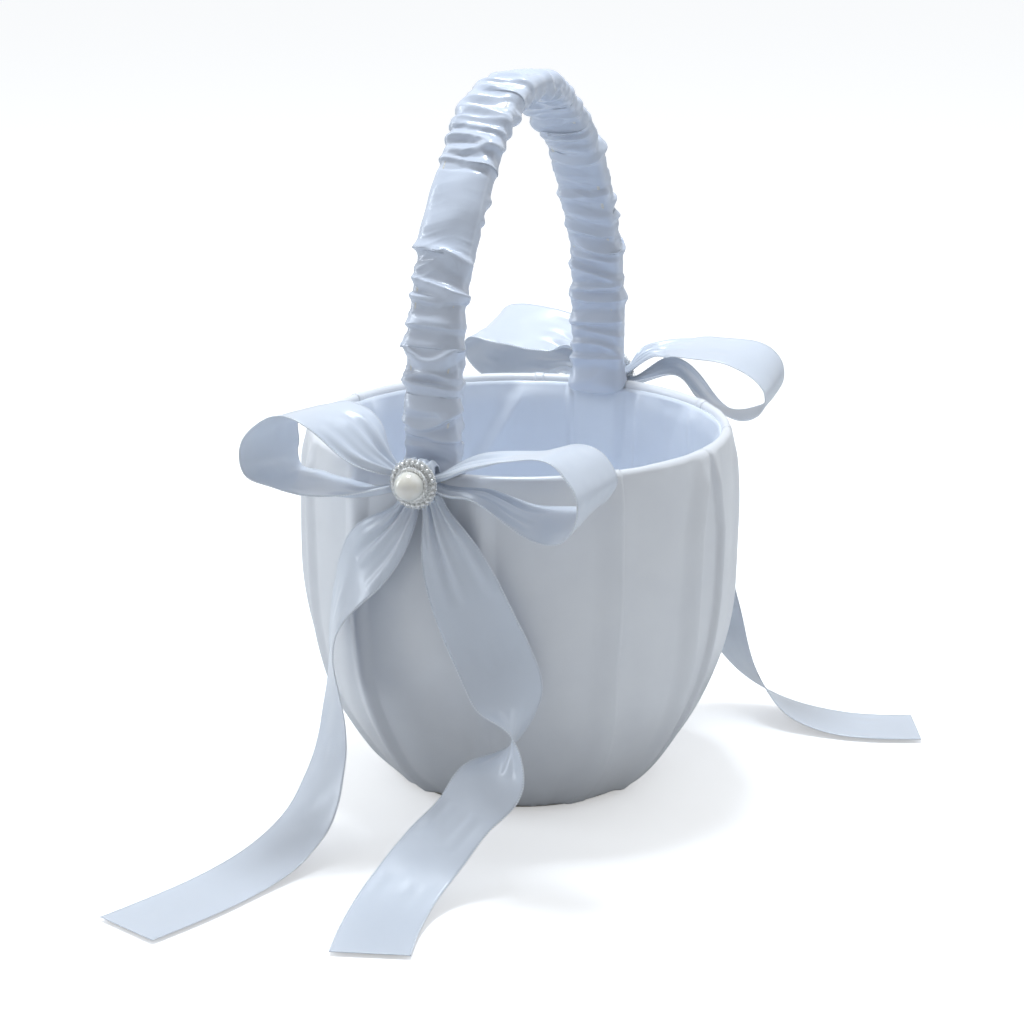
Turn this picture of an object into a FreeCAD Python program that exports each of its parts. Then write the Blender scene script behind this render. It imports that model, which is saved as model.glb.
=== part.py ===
import FreeCAD, Part
import math
import os

from FreeCAD import Vector

# Satin flower girl basket: a moulded shell with a satin cover and lining, a padded arched
# handle, and a ribbon bow with a pearl brooch and two tails on the front and on the back.
# Frame: origin on the floor at the middle of the base, +Z up. The handle spans along Y,
# the front bow faces -Y and the back bow faces +Y. All sizes are in millimetres.

# Body outline, measured on the outside of the satin cover.
RIM_HEIGHT = 127.0
BASE_RADIUS = 42.7
BELLY_RADIUS = 74.3
BELLY_HEIGHT = 95.0
RIM_RADIUS = 73.2

# Layers of the wall, from the outside in.
COVER_THICKNESS = 0.8
SHELL_THICKNESS = 2.2
LINING_THICKNESS = 0.6
LAYER_GAP = 0.1
LINING_EASE = 0.5
LINING_TOP_DROP = 0.4
RIM_LIP_DEPTH = 6.0
HEM_WIDTH = 8.0

# Boards under and inside the base.
BASE_DISC_RADIUS = 41.0
BASE_DISC_THICKNESS = 1.2
INNER_BOARD_THICKNESS = 2.0
INNER_BOARD_RADIUS = 39.5
INNER_BOARD_EDGE = 0.6

# Handle arch: straight feet, two side arcs and a top arc, along the middle of the core.
HANDLE_HALF_SPAN = 69.2
HANDLE_FOOT_HEIGHT = 98.0
HANDLE_STRAIGHT_TOP = 150.0
HANDLE_TOP_RADIUS = 46.0
HANDLE_APEX_HEIGHT = 243.5
HANDLE_APEX_SHIFT = -2.5
CORE_WIDTH = 14.0
CORE_THICKNESS = 1.2
CORE_CORNER = 0.4
CORE_ROOM = 0.2
PADDING_WIDTH = 17.0
PADDING_THICKNESS = 6.6
PADDING_CORNER = 2.4
SLEEVE_WIDTH = 20.0
SLEEVE_THICKNESS = 9.2
SLEEVE_CORNER = 3.8
SLEEVE_ROOM = 0.2
SLEEVE_FOOT_HEIGHT = RIM_HEIGHT + 0.3
STAPLE_WIDTH = 8.0
STAPLE_WIRE = 0.6
STAPLE_LEG = 2.4
STAPLE_HEIGHTS = (103.0, 112.0)
POCKET_MARGIN = 1.4
POCKET_OVERLAP = 3.0

# Ribbon and bow.
RIBBON_WIDTH = 25.0
RIBBON_THICKNESS = 0.6
GATHER_WIDTH = 8.0
KNOT_DISTANCE = 79.6
KNOT_HEIGHT = 126.0
KNOT_SIZE = Vector(13.0, 8.0, 14.0)
KNOT_CORNER = 2.6
GLUE_PAD_WIDTH = 10.0
GLUE_PAD_BOTTOM = 120.0
GLUE_PAD_TOP = 125.5
GLUE_PAD_DEPTH = 4.0

# Pearl brooch on the knot.
CUP_RADIUS = 5.6
CUP_DEPTH = 2.6
PEARL_RADIUS = 4.8
PEARL_RISE = 1.6
PEARL_ROOM = 0.05
BEAD_RADIUS = 0.65
BEAD_SEAT = 0.8
BEAD_ROOM = 0.02
BEAD_RING_RADIUS = 7.2
BEAD_COUNT = 24
PRONG_PLATE_RADIUS = 7.9
PRONG_PLATE_THICKNESS = 0.8

UP = Vector(0, 0, 1)
BACK_TURN = 180.0


def wall_radius(height):
    """Outer radius of the satin cover at a height."""
    if height < BELLY_HEIGHT:
        rise = 1 - (1 - height / BELLY_HEIGHT) ** 3
        return BASE_RADIUS + (BELLY_RADIUS - BASE_RADIUS) * rise
    above = (height - BELLY_HEIGHT) / (RIM_HEIGHT - BELLY_HEIGHT)
    return BELLY_RADIUS - (BELLY_RADIUS - RIM_RADIUS) * above ** 2


def wall_point(height, depth):
    """Point in the XZ plane that lies a depth below the cover's outer face, square to the wall."""
    step = 0.05
    slope = (wall_radius(height + step) - wall_radius(height - step)) / (2 * step)
    length = math.hypot(1, slope)
    return Vector(wall_radius(height) - depth / length, 0, height + depth * slope / length)


def height_at_depth(target, depth):
    """Height of the wall_point whose own z is the target."""
    low, high = 0.0, RIM_HEIGHT
    for _ in range(40):
        middle = (low + high) / 2
        if wall_point(middle, depth).z < target:
            low = middle
        else:
            high = middle
    return low


def wall_curve(bottom, top, depth, spans=8):
    """Smooth curve along the wall at a depth, between two z heights."""
    first = height_at_depth(bottom, depth)
    last = height_at_depth(top, depth)
    heights = [first + (last - first) * (i / spans) for i in range(spans + 1)]
    points = [wall_point(height, depth) for height in heights]
    points[0].z = bottom
    points[-1].z = top
    curve = Part.BSplineCurve()
    curve.interpolate(points)
    return curve.toShape(), points[0], points[-1]


def line(start, end):
    return Part.makeLine(start, end)


def turned(edges):
    """Solid of revolution about Z from a closed outline in the XZ plane."""
    wire = Part.Wire(Part.__sortEdges__(edges))
    return Part.Face(wire).revolve(Vector(0, 0, 0), UP, 360)


def rounded_rectangle(width, depth, radius, center):
    """Closed wire in the XY plane, width along X and depth along Y."""
    half_x = width / 2 - radius
    half_y = depth / 2 - radius
    edges = []
    corners = ((half_x, half_y, 0), (-half_x, half_y, 90), (-half_x, -half_y, 180), (half_x, -half_y, 270))
    ends = []
    for x, y, angle in corners:
        middle = center + Vector(x, y, 0)
        arc = Part.makeCircle(radius, middle, UP, angle, angle + 90)
        edges.append(arc)
        ends.append((arc.Vertexes[0].Point, arc.Vertexes[-1].Point))
    for i in range(4):
        start = ends[i][1]
        end = ends[(i + 1) % 4][0]
        if start.distanceToPoint(end) > 1e-6:
            edges.append(line(start, end))
    return Part.Wire(Part.__sortEdges__(edges))


def outer_cover():
    """Satin over the shell: under the base edge, up the wall and over the rim as a soft roll."""
    bottom = BASE_DISC_THICKNESS + LAYER_GAP
    roll = COVER_THICKNESS + LAYER_GAP + SHELL_THICKNESS / 2
    roll_height = RIM_HEIGHT - roll
    outside, low_out, high_out = wall_curve(bottom, roll_height, 0)
    inside, low_in, high_in = wall_curve(bottom + COVER_THICKNESS, roll_height, COVER_THICKNESS)
    hem_radius = BASE_DISC_RADIUS - HEM_WIDTH
    hem_low = Vector(hem_radius, 0, bottom)
    hem_high = Vector(hem_radius, 0, bottom + COVER_THICKNESS)
    middle_x = high_out.x - roll
    lip_out_x = middle_x - roll
    lip_in_x = lip_out_x + COVER_THICKNESS
    lip_z = roll_height - RIM_LIP_DEPTH
    top_outer = Part.Arc(high_out, Vector(middle_x, 0, RIM_HEIGHT), Vector(lip_out_x, 0, roll_height))
    top_inner = Part.Arc(high_in, Vector(middle_x, 0, RIM_HEIGHT - COVER_THICKNESS),
                         Vector(lip_in_x, 0, roll_height))
    edges = [
        outside, top_outer.toShape(), inside, top_inner.toShape(),
        line(Vector(lip_out_x, 0, roll_height), Vector(lip_out_x, 0, lip_z)),
        line(Vector(lip_in_x, 0, roll_height), Vector(lip_in_x, 0, lip_z)),
        line(Vector(lip_out_x, 0, lip_z), Vector(lip_in_x, 0, lip_z)),
        line(low_out, hem_low), line(hem_low, hem_high), line(hem_high, low_in),
    ]
    cover = turned(edges)
    return cover.cut(handle_core_room())


def basket_shell():
    """Moulded bucket that gives the basket its shape, with a rounded rim."""
    depth_out = COVER_THICKNESS + LAYER_GAP
    depth_in = depth_out + SHELL_THICKNESS
    bottom = BASE_DISC_THICKNESS + 2 * LAYER_GAP + COVER_THICKNESS
    rim = RIM_HEIGHT - depth_out - SHELL_THICKNESS / 2
    outside, low_out, high_out = wall_curve(bottom, rim, depth_out)
    inside, low_in, high_in = wall_curve(bottom + SHELL_THICKNESS, rim, depth_in)
    top = Part.Arc(high_out, Vector((high_out.x + high_in.x) / 2, 0, rim + SHELL_THICKNESS / 2), high_in)
    axis_low = Vector(0, 0, bottom)
    axis_high = Vector(0, 0, bottom + SHELL_THICKNESS)
    edges = [outside, top.toShape(), inside, line(axis_low, low_out), line(axis_high, low_in),
             line(axis_low, axis_high)]
    return turned(edges)


def lining_depth():
    """Depth of the lining's hidden face below the cover's outer face."""
    return 2 * COVER_THICKNESS + SHELL_THICKNESS + 2 * LAYER_GAP + LINING_EASE


def inner_lining():
    """Satin inside the shell, from the bottom up to the rim, passing over the handle's ends."""
    bottom = BASE_DISC_THICKNESS + 3 * LAYER_GAP + COVER_THICKNESS + SHELL_THICKNESS
    top = RIM_HEIGHT - COVER_THICKNESS - LAYER_GAP - SHELL_THICKNESS / 2 - LINING_TOP_DROP
    depth_out = lining_depth()
    outside, low_out, high_out = wall_curve(bottom, top, depth_out)
    inside, low_in, high_in = wall_curve(bottom + LINING_THICKNESS, top, depth_out + LINING_THICKNESS)
    axis_low = Vector(0, 0, bottom)
    axis_high = Vector(0, 0, bottom + LINING_THICKNESS)
    edges = [outside, inside, line(high_out, high_in), line(axis_low, low_out),
             line(axis_high, low_in), line(axis_low, axis_high)]
    lining = turned(edges)
    cavity = turned([outside, line(high_out, Vector(0, 0, top)), line(Vector(0, 0, top), axis_low),
                     line(axis_low, low_out)])
    for side in (-1, 1):
        lining = lining.fuse(handle_end_pocket(side, top).common(cavity))
    for side in (-1, 1):
        lining = lining.cut(handle_end_room(side))
    return lining.removeSplitter()


def handle_end_pocket(side, top):
    """Block of lining that bulges over one end of the handle's core and its staples."""
    low = HANDLE_FOOT_HEIGHT - POCKET_MARGIN
    inner = HANDLE_HALF_SPAN - CORE_THICKNESS / 2 - STAPLE_WIRE - LINING_THICKNESS
    width = CORE_WIDTH + 2 * POCKET_MARGIN
    depth = CORE_THICKNESS + STAPLE_WIRE + LINING_THICKNESS + POCKET_OVERLAP
    start = Vector(-width / 2, inner if side > 0 else -inner - depth, low)
    return Part.makeBox(width, depth, top - low, start)


def handle_end_room(side):
    """Room in the lining for one end of the core and its staples, open to the shell."""
    inner = HANDLE_HALF_SPAN - CORE_THICKNESS / 2 - STAPLE_WIRE
    width = CORE_WIDTH + CORE_ROOM
    depth = 2 * POCKET_OVERLAP
    low = HANDLE_FOOT_HEIGHT - CORE_ROOM / 2
    start = Vector(-width / 2, inner if side > 0 else -inner - depth, low)
    return Part.makeBox(width, depth, RIM_HEIGHT - low, start)


def base_disc():
    """Card disc glued under the base over the cover's turned edge. The basket stands on it."""
    return Part.makeCylinder(BASE_DISC_RADIUS, BASE_DISC_THICKNESS)


def inner_base_board():
    """Satin-wrapped card disc that lies on the lining inside the basket."""
    bottom = BASE_DISC_THICKNESS + 4 * LAYER_GAP + COVER_THICKNESS + SHELL_THICKNESS + LINING_THICKNESS
    board = Part.makeCylinder(INNER_BOARD_RADIUS, INNER_BOARD_THICKNESS, Vector(0, 0, bottom))
    rim_edges = [edge for edge in board.Edges if edge.BoundBox.ZLength < 0.01]
    return board.makeFillet(INNER_BOARD_EDGE, rim_edges)


def side_arc_radius(half_span):
    """Radius of the side arc that meets the straight foot and the top arc smoothly."""
    rise = HANDLE_APEX_HEIGHT - HANDLE_TOP_RADIUS - HANDLE_STRAIGHT_TOP
    top = HANDLE_TOP_RADIUS
    return (half_span ** 2 + rise ** 2 - top ** 2) / (2 * (half_span - top))


def arch_path(foot_height):
    """Middle line of the handle in the YZ plane, from the front foot to the back foot."""
    top_center = Vector(0, HANDLE_APEX_SHIFT, HANDLE_APEX_HEIGHT - HANDLE_TOP_RADIUS)
    edges = []
    joins = []
    for side in (-1, 1):
        reach = HANDLE_HALF_SPAN - side * HANDLE_APEX_SHIFT
        radius = side_arc_radius(reach)
        center = Vector(0, side * (HANDLE_HALF_SPAN - radius), HANDLE_STRAIGHT_TOP)
        direction = (top_center - center).normalize()
        join = center + direction * radius
        bisector = (direction + Vector(0, side, 0)).normalize()
        foot = Vector(0, side * HANDLE_HALF_SPAN, foot_height)
        knee = Vector(0, side * HANDLE_HALF_SPAN, HANDLE_STRAIGHT_TOP)
        side_edges = [line(foot, knee), Part.Arc(knee, center + bisector * radius, join).toShape()]
        joins.append(join)
        edges.append(side_edges)
    apex = Vector(0, HANDLE_APEX_SHIFT, HANDLE_APEX_HEIGHT)
    top = Part.Arc(joins[0], apex, joins[1]).toShape()
    ordered = edges[0] + [top] + edges[1]
    return Part.Wire(Part.__sortEdges__(ordered))


def arch_solid(width, thickness, corner, foot_height):
    """Solid of a rounded rectangle carried along the arch."""
    section = rounded_rectangle(width, thickness, corner, Vector(0, -HANDLE_HALF_SPAN, foot_height))
    return arch_path(foot_height).makePipeShell([section], True, False)


def handle_core_room():
    """The core with a little room round it."""
    corner = CORE_CORNER + CORE_ROOM / 2
    low = HANDLE_FOOT_HEIGHT - CORE_ROOM / 2
    return arch_solid(CORE_WIDTH + CORE_ROOM, CORE_THICKNESS + CORE_ROOM, corner, low)


def handle_core():
    """Springy plastic strip that carries the basket, stapled inside the shell at both ends."""
    core = arch_solid(CORE_WIDTH, CORE_THICKNESS, CORE_CORNER, HANDLE_FOOT_HEIGHT)
    for side in (-1, 1):
        core = core.cut(staples(side))
    return core


def handle_padding():
    """Foam strip round the core, from rim to rim."""
    foot = SLEEVE_FOOT_HEIGHT
    padding = arch_solid(PADDING_WIDTH, PADDING_THICKNESS, PADDING_CORNER, foot)
    return padding.cut(handle_core_room())


def handle_sleeve():
    """Gathered satin tube over the padding, closed against the rim at both ends."""
    foot = SLEEVE_FOOT_HEIGHT
    outside = arch_solid(SLEEVE_WIDTH, SLEEVE_THICKNESS, SLEEVE_CORNER, foot)
    corner = PADDING_CORNER + SLEEVE_ROOM / 2
    inside = arch_solid(PADDING_WIDTH + SLEEVE_ROOM, PADDING_THICKNESS + SLEEVE_ROOM, corner, foot - 1)
    return outside.cut(inside)


def staple(side, height):
    """Flat wire staple whose legs pass through the core into the shell."""
    face = HANDLE_HALF_SPAN - CORE_THICKNESS / 2
    crown_y = side * (face - STAPLE_WIRE / 2)
    leg_end = side * (face + CORE_THICKNESS + STAPLE_LEG)
    low_y = min(crown_y - STAPLE_WIRE / 2, leg_end)
    crown = Part.makeBox(STAPLE_WIDTH, STAPLE_WIRE, STAPLE_WIRE,
                         Vector(-STAPLE_WIDTH / 2, crown_y - STAPLE_WIRE / 2, height))
    body = crown
    for x in (-STAPLE_WIDTH / 2, STAPLE_WIDTH / 2 - STAPLE_WIRE):
        length = abs(leg_end - crown_y) + STAPLE_WIRE / 2
        leg = Part.makeBox(STAPLE_WIRE, length, STAPLE_WIRE, Vector(x, low_y, height))
        body = body.fuse(leg)
    return body.removeSplitter()


def staples(side):
    return Part.makeCompound([staple(side, height) for height in STAPLE_HEIGHTS])


def spline_through(points, parameters):
    curve = Part.BSplineCurve()
    curve.interpolate(Points=points, Parameters=parameters)
    return curve


def ribbon(stations, thickness=RIBBON_THICKNESS):
    """Ribbon solid through stations of (middle point, direction across, width)."""
    middles = [Vector(*point) for point, across, width in stations]
    parameters = [0.0]
    for before, after in zip(middles, middles[1:]):
        parameters.append(parameters[-1] + before.distanceToPoint(after))
    route = spline_through(middles, parameters)
    rails = [[], [], [], []]
    for (point, across, width), parameter in zip(stations, parameters):
        middle = Vector(*point)
        along = route.tangent(parameter)[0]
        across = Vector(*across)
        across = (across - along * across.dot(along)).normalize()
        square = along.cross(across)
        half_width = across * (width / 2)
        half_thick = square * (thickness / 2)
        rails[0].append(middle - half_width - half_thick)
        rails[1].append(middle + half_width - half_thick)
        rails[2].append(middle + half_width + half_thick)
        rails[3].append(middle - half_width + half_thick)
    edges = [spline_through(rail, parameters).toShape() for rail in rails]
    faces = [Part.makeRuledSurface(edges[i], edges[(i + 1) % 4], 1) for i in range(4)]
    for end in (0, -1):
        corners = [rail[end] for rail in rails]
        for three in ((0, 1, 2), (0, 2, 3)):
            loop = [corners[i] for i in three]
            faces.append(Part.Face(Part.makePolygon(loop + [loop[0]])))
    shell = Part.Shell(faces)
    shell.sewShape()
    solid = Part.Solid(shell)
    if solid.Volume < 0:
        solid.reverse()
    return solid


def heading(degrees, rise=0.0):
    """Unit direction in the floor plane, turned from +X towards +Y, with an optional rise."""
    angle = math.radians(degrees)
    return (math.cos(angle), math.sin(angle), rise)


OUTWARD_FRONT = (0.0, -1.0, 0.0)
OUTWARD_BACK = (0.0, 1.0, 0.0)


def front_loop_left():
    """Loop that rises to the left of the front knot, with its open mouth facing the front."""
    route = (
        (-7.9, -79.2, 127.6, 6, OUTWARD_FRONT), (-12.8, -80.4, 131.5, 13, (-0.01, -0.99, -0.17)),
        (-17.5, -82.0, 136.1, 20, (-0.12, -0.94, -0.32)), (-24.0, -82.0, 141.6, 24, (-0.05, -0.95, -0.32)),
        (-30.8, -82.0, 144.5, 25, (0.06, -0.98, -0.18)), (-38.0, -82.0, 145.4, 25, (0.12, -0.99, 0.04)),
        (-45.7, -82.0, 144.4, 25, (0.09, -0.98, 0.18)), (-51.8, -82.0, 139.4, 25, (-0.11, -0.97, 0.19)),
        (-53.8, -82.0, 132.4, 25, (-0.39, -0.92, 0.05)), (-53.1, -82.0, 126.4, 25, (-0.33, -0.94, 0.01)),
        (-48.7, -82.0, 122.8, 25, (-0.10, -1.00, 0.02)), (-42.4, -82.0, 121.7, 25, (0.02, -1.00, -0.03)),
        (-36.9, -82.0, 120.8, 25, (0.10, -0.99, -0.03)), (-28.2, -82.0, 120.6, 25, (0.24, -0.97, 0.02)),
        (-19.8, -82.0, 120.5, 20, (0.37, -0.93, 0.10)), (-12.7, -81.0, 121.8, 13, (0.31, -0.94, 0.15)),
        (-7.9, -79.2, 123.2, 6, OUTWARD_FRONT),
    )
    return ribbon([((x, y, z), across, width) for x, y, z, width, across in route])


def front_loop_right():
    """Loop to the right of the front knot, which droops below the rim."""
    route = (
        (7.6, -79.2, 128.2, 6, OUTWARD_FRONT), (15.0, -80.4, 132.0, 12, (0.17, -0.99, -0.01)),
        (25.5, -82.0, 135.9, 19, (0.21, -0.97, 0.09)), (33.7, -82.0, 137.8, 24, (0.21, -0.97, 0.15)),
        (40.4, -82.0, 139.2, 25, (0.14, -0.98, 0.15)), (52.6, -82.0, 140.9, 25, (-0.15, -0.99, 0.02)),
        (57.5, -82.0, 138.5, 25, (-0.17, -0.99, -0.03)), (60.6, -82.0, 135.5, 25, (-0.17, -0.98, -0.04)),
        (63.0, -82.0, 130.7, 25, (-0.17, -0.98, -0.10)), (62.0, -82.0, 125.9, 25, (-0.11, -0.99, -0.08)),
        (59.7, -82.0, 121.7, 25, (-0.03, -1.00, -0.09)), (55.1, -82.0, 118.4, 25, (0.04, -0.98, -0.18)),
        (49.8, -82.0, 117.6, 25, (0.08, -0.97, -0.21)), (42.9, -82.0, 118.2, 25, (0.12, -0.98, -0.14)),
        (34.5, -82.0, 120.5, 22, (0.11, -0.99, -0.05)), (24.3, -81.5, 124.2, 16, (0.19, -0.98, 0.01)),
        (7.6, -79.2, 123.4, 6, OUTWARD_FRONT),
    )
    return ribbon([((x, y, z), across, width) for x, y, z, width, across in route])


def back_loop_right():
    """Loop of the back bow on the basket's +X side."""
    route = (
        (7.6, 79.4, 128.8, 6, OUTWARD_BACK), (14.0, 83.0, 134.8, 12, (-0.22, 0.96, 0.15)),
        (17.6, 86.5, 135.8, 19, (-0.37, 0.93, 0.07)), (25.3, 88.0, 137.2, 24, (-0.33, 0.94, 0.05)),
        (34.9, 88.0, 137.7, 25, (-0.34, 0.94, 0.10)), (46.2, 88.0, 137.3, 25, (-0.33, 0.93, 0.16)),
        (54.6, 88.0, 135.1, 25, (-0.22, 0.94, 0.26)), (59.8, 88.0, 131.1, 25, (-0.13, 0.96, 0.26)),
        (62.0, 88.0, 125.9, 25, (-0.09, 0.98, 0.18)), (59.9, 88.0, 119.5, 25, (-0.12, 0.99, 0.09)),
        (54.8, 88.0, 115.7, 25, (-0.14, 0.99, 0.01)), (48.5, 88.0, 114.7, 25, (-0.17, 0.98, -0.08)),
        (40.7, 88.0, 116.1, 25, (-0.20, 0.97, -0.17)), (32.3, 88.0, 122.3, 22, (-0.09, 0.99, -0.09)),
        (24.2, 84.0, 129.8, 16, (0.11, 0.99, 0.05)), (7.6, 79.4, 124.2, 6, OUTWARD_BACK),
    )
    return ribbon([((x, y, z), across, width) for x, y, z, width, across in route])


def back_loop_left():
    """Loop of the back bow on the basket's -X side."""
    route = (
        (-9.0, 79.4, 129.2, 6, OUTWARD_BACK), (-12.2, 82.6, 133.6, 12, (-0.1, 0.93, 0.32)),
        (-17.2, 86.0, 136.0, 19, (-0.08, 0.91, 0.4)), (-23.4, 88.0, 137.6, 24, (-0.03, 0.9, 0.43)),
        (-30.4, 88.0, 138.8, 25, (0.0, 0.9, 0.43)), (-37.6, 88.0, 139.6, 25, (0.0, 0.9, 0.43)),
        (-44.6, 88.0, 139.8, 25, (0.02, 0.91, 0.41)), (-51.0, 88.0, 138.6, 25, (0.1, 0.94, 0.32)),
        (-55.4, 88.0, 135.0, 25, (0.16, 0.97, 0.16)), (-56.2, 88.0, 130.6, 25, (0.06, 0.99, 0.06)),
        (-53.2, 88.0, 127.4, 25, (-0.06, 0.97, 0.22)), (-47.4, 88.0, 126.0, 25, (-0.04, 0.91, 0.4)),
        (-39.6, 88.0, 125.8, 25, (0.0, 0.88, 0.47)), (-31.0, 87.6, 126.2, 24, (0.02, 0.88, 0.47)),
        (-22.4, 86.0, 127.0, 18, (-0.04, 0.89, 0.45)), (-14.6, 82.8, 127.0, 12, (-0.14, 0.94, 0.29)),
        (-9.0, 79.2, 124.6, 6, OUTWARD_BACK),
    )
    return ribbon([((x, y, z), across, width) for x, y, z, width, across in route])


def front_tail_left():
    """Tail that falls down the wall to the left and out across the floor in front."""
    route = (
        (-4.8, -79.5, 117.0, 8, -4), (-7.6, -80.8, 111.5, 13, -10), (-14.5, -80.8, 103.2, 20, -18),
        (-23, -78.8, 94.0, 25, -30), (-30, -77.0, 84.0, 25, -45), (-34, -76.6, 72.5, 25, -58),
        (-34.2, -77.8, 60.5, 25, -60), (-32.6, -80.4, 47.5, 25, -52), (-31.6, -84.4, 34.0, 25, -44),
        (-31.4, -91.8, 20.8, 25, -38), (-32.6, -102.6, 10.2, 25, -33), (-35.8, -116.0, 4.0, 25, -28),
        (-39.5, -131.0, 1.4, 25, -25), (-45, -155.0, 1.0, 25, -23), (-53.3, -181.0, 1.0, 25, -22),
    )
    return ribbon([((x, y, z), heading(turn), width) for x, y, z, width, turn in route])


def front_tail_right():
    """Tail that falls to the right, turns over once near the floor and runs out in front."""
    route = (
        (4.8, -79.5, 117.2, 8, (1, 0, 0.05)), (8.0, -81, 109.5, 15, (1, 0, 0.2)),
        (12.0, -80.4, 98.5, 22, (0.95, 0.1, 0.35)), (17.0, -79.6, 86.5, 25, (0.9, 0.15, 0.35)),
        (22.5, -78.8, 74.5, 25, (0.85, 0.3, 0.35)), (28.0, -78.4, 63.0, 25, (0.7, 0.6, 0.3)),
        (32.0, -79.0, 52.5, 25, (0.35, 0.95, 0.2)), (33.8, -82.4, 43.0, 25, (-0.25, 1.0, 0.3)),
        (31.6, -90.0, 33.5, 25, (-0.75, 0.65, 0.35)), (26.5, -100.5, 24.0, 25, (-0.9, 0.35, 0.15)),
        (20.8, -112.0, 15.0, 25, (-0.95, 0.1, 0.05)), (17.4, -124.5, 7.6, 25, (-1.0, -0.05, 0.0)),
        (17.2, -138.0, 3.2, 25, (-0.97, -0.2, 0.0)), (19.6, -151.5, 1.4, 25, (-0.95, -0.3, 0.0)),
        (24.0, -166.0, 1.0, 25, (-0.9, -0.42, 0.0)),
    )
    return ribbon([((x, y, z), across, width) for x, y, z, width, across in route])


def back_tail_right():
    """Tail of the back bow that falls to the right, turns over and runs out to the side."""
    route = (
        (4.8, 80.0, 117.2, 8, (1, 0, 0.0)), (9.5, 81.5, 109.5, 15, (1, 0, 0.25)),
        (16, 82.0, 98.0, 22, (0.95, -0.1, 0.35)), (23, 82.2, 85.0, 25, (0.92, -0.15, 0.4)),
        (30, 82.8, 71.0, 25, (0.9, -0.2, 0.45)), (36.0, 83.4, 57.0, 25, (0.86, -0.24, 0.48)),
        (41.4, 83.8, 43.5, 25, (0.8, -0.34, 0.5)), (47.0, 84.0, 31.0, 25, (0.72, -0.52, 0.48)),
        (54.0, 84.0, 19.6, 25, (0.58, -0.73, 0.38)), (63.0, 84.0, 10.8, 25, (0.4, -0.87, 0.27)),
        (73.0, 83.4, 5.2, 25, (0.32, -0.94, 0.1)), (84.0, 83.0, 2.4, 25, (0.3, -0.95, 0.03)),
        (95.5, 83.4, 1.3, 25, (0.33, -0.94, 0.0)), (107.5, 86.2, 1.2, 25, (0.38, -0.92, 0.0)),
        (119.6, 91.4, 1.2, 25, (0.41, -0.91, 0.0)),
    )
    return ribbon([((x, y, z), across, width) for x, y, z, width, across in route])


def back_tail_left():
    """Tail of the back bow that falls to the left and runs out behind the basket."""
    route = (
        (-4.8, 80.0, 117.2, 8, 4), (-10, 81.8, 109.5, 15, 12), (-16.5, 82.2, 98.0, 22, 16),
        (-22.5, 82.0, 85.0, 25, 20), (-27, 82.0, 71.0, 25, 22), (-30, 82.6, 57.0, 25, 22),
        (-31.5, 84.6, 43.5, 25, 20), (-31.6, 89.4, 30.5, 25, 16), (-31, 98.0, 18.6, 25, 12),
        (-30, 109.5, 9.2, 25, 8), (-28.6, 122.5, 4.0, 25, 6), (-27, 137.0, 1.5, 25, 5),
        (-25, 161.0, 1.0, 25, 4),
    )
    return ribbon([((x, y, z), heading(turn), width) for x, y, z, width, turn in route])


def bow_knot():
    """Ribbon wrapped round the gathered middle of the front bow."""
    low = Vector(-KNOT_SIZE.x / 2, -KNOT_DISTANCE - KNOT_SIZE.y / 2, KNOT_HEIGHT - KNOT_SIZE.z / 2)
    block = Part.makeBox(KNOT_SIZE.x, KNOT_SIZE.y, KNOT_SIZE.z, low)
    boxes = [(edge, edge.BoundBox) for edge in block.Edges]
    across = [edge for edge, box in boxes if box.ZLength < 0.01 and box.YLength < 0.01]
    return block.makeFillet(KNOT_CORNER, across)


def bow_glue_pad(cover):
    """Patch of set glue between the cover and the back of the knot."""
    front = KNOT_DISTANCE - KNOT_SIZE.y / 2
    pad = Part.makeBox(GLUE_PAD_WIDTH, GLUE_PAD_DEPTH, GLUE_PAD_TOP - GLUE_PAD_BOTTOM,
                       Vector(-GLUE_PAD_WIDTH / 2, -front, GLUE_PAD_BOTTOM))
    full_wall = Part.makeCylinder(wall_radius(GLUE_PAD_BOTTOM) + 0.02, RIM_HEIGHT)
    return pad.cut(full_wall).cut(cover)


def brooch_place():
    """Middle of the brooch's back, on the front face of the front knot."""
    return Vector(0, -KNOT_DISTANCE - KNOT_SIZE.y / 2, KNOT_HEIGHT)


def brooch_cup():
    """Metal plate and cup that hold the pearl and the ring of beads."""
    back = brooch_place()
    out = Vector(0, -1, 0)
    plate = Part.makeCylinder(PRONG_PLATE_RADIUS, PRONG_PLATE_THICKNESS, back, out)
    cup = Part.makeCylinder(CUP_RADIUS, CUP_DEPTH, back, out)
    rooms = Part.makeCompound([pearl_ball(PEARL_ROOM)] + beads(BEAD_ROOM))
    return plate.fuse(cup).cut(rooms).removeSplitter()


def pearl_ball(extra=0.0):
    middle = brooch_place() + Vector(0, -(CUP_DEPTH + PEARL_RISE), 0)
    return Part.makeSphere(PEARL_RADIUS + extra, middle)


def brooch_pearl():
    """Round pearl, with a flat on its back where it is glued into the cup."""
    back = brooch_place() + Vector(0, -PRONG_PLATE_THICKNESS, 0)
    size = 4 * PEARL_RADIUS
    half_space = Part.makeBox(size, size, size, back + Vector(-size / 2, -size, -size / 2))
    return pearl_ball().common(half_space)


def beads(extra=0.0):
    back = brooch_place() + Vector(0, -PRONG_PLATE_THICKNESS - BEAD_RADIUS * BEAD_SEAT, 0)
    ring = []
    for i in range(BEAD_COUNT):
        angle = 2 * math.pi * i / BEAD_COUNT
        offset = Vector(math.cos(angle), 0, math.sin(angle)) * BEAD_RING_RADIUS
        ring.append(Part.makeSphere(BEAD_RADIUS + extra, back + offset))
    return ring


def brooch_beads():
    return Part.makeCompound(beads())


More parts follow.
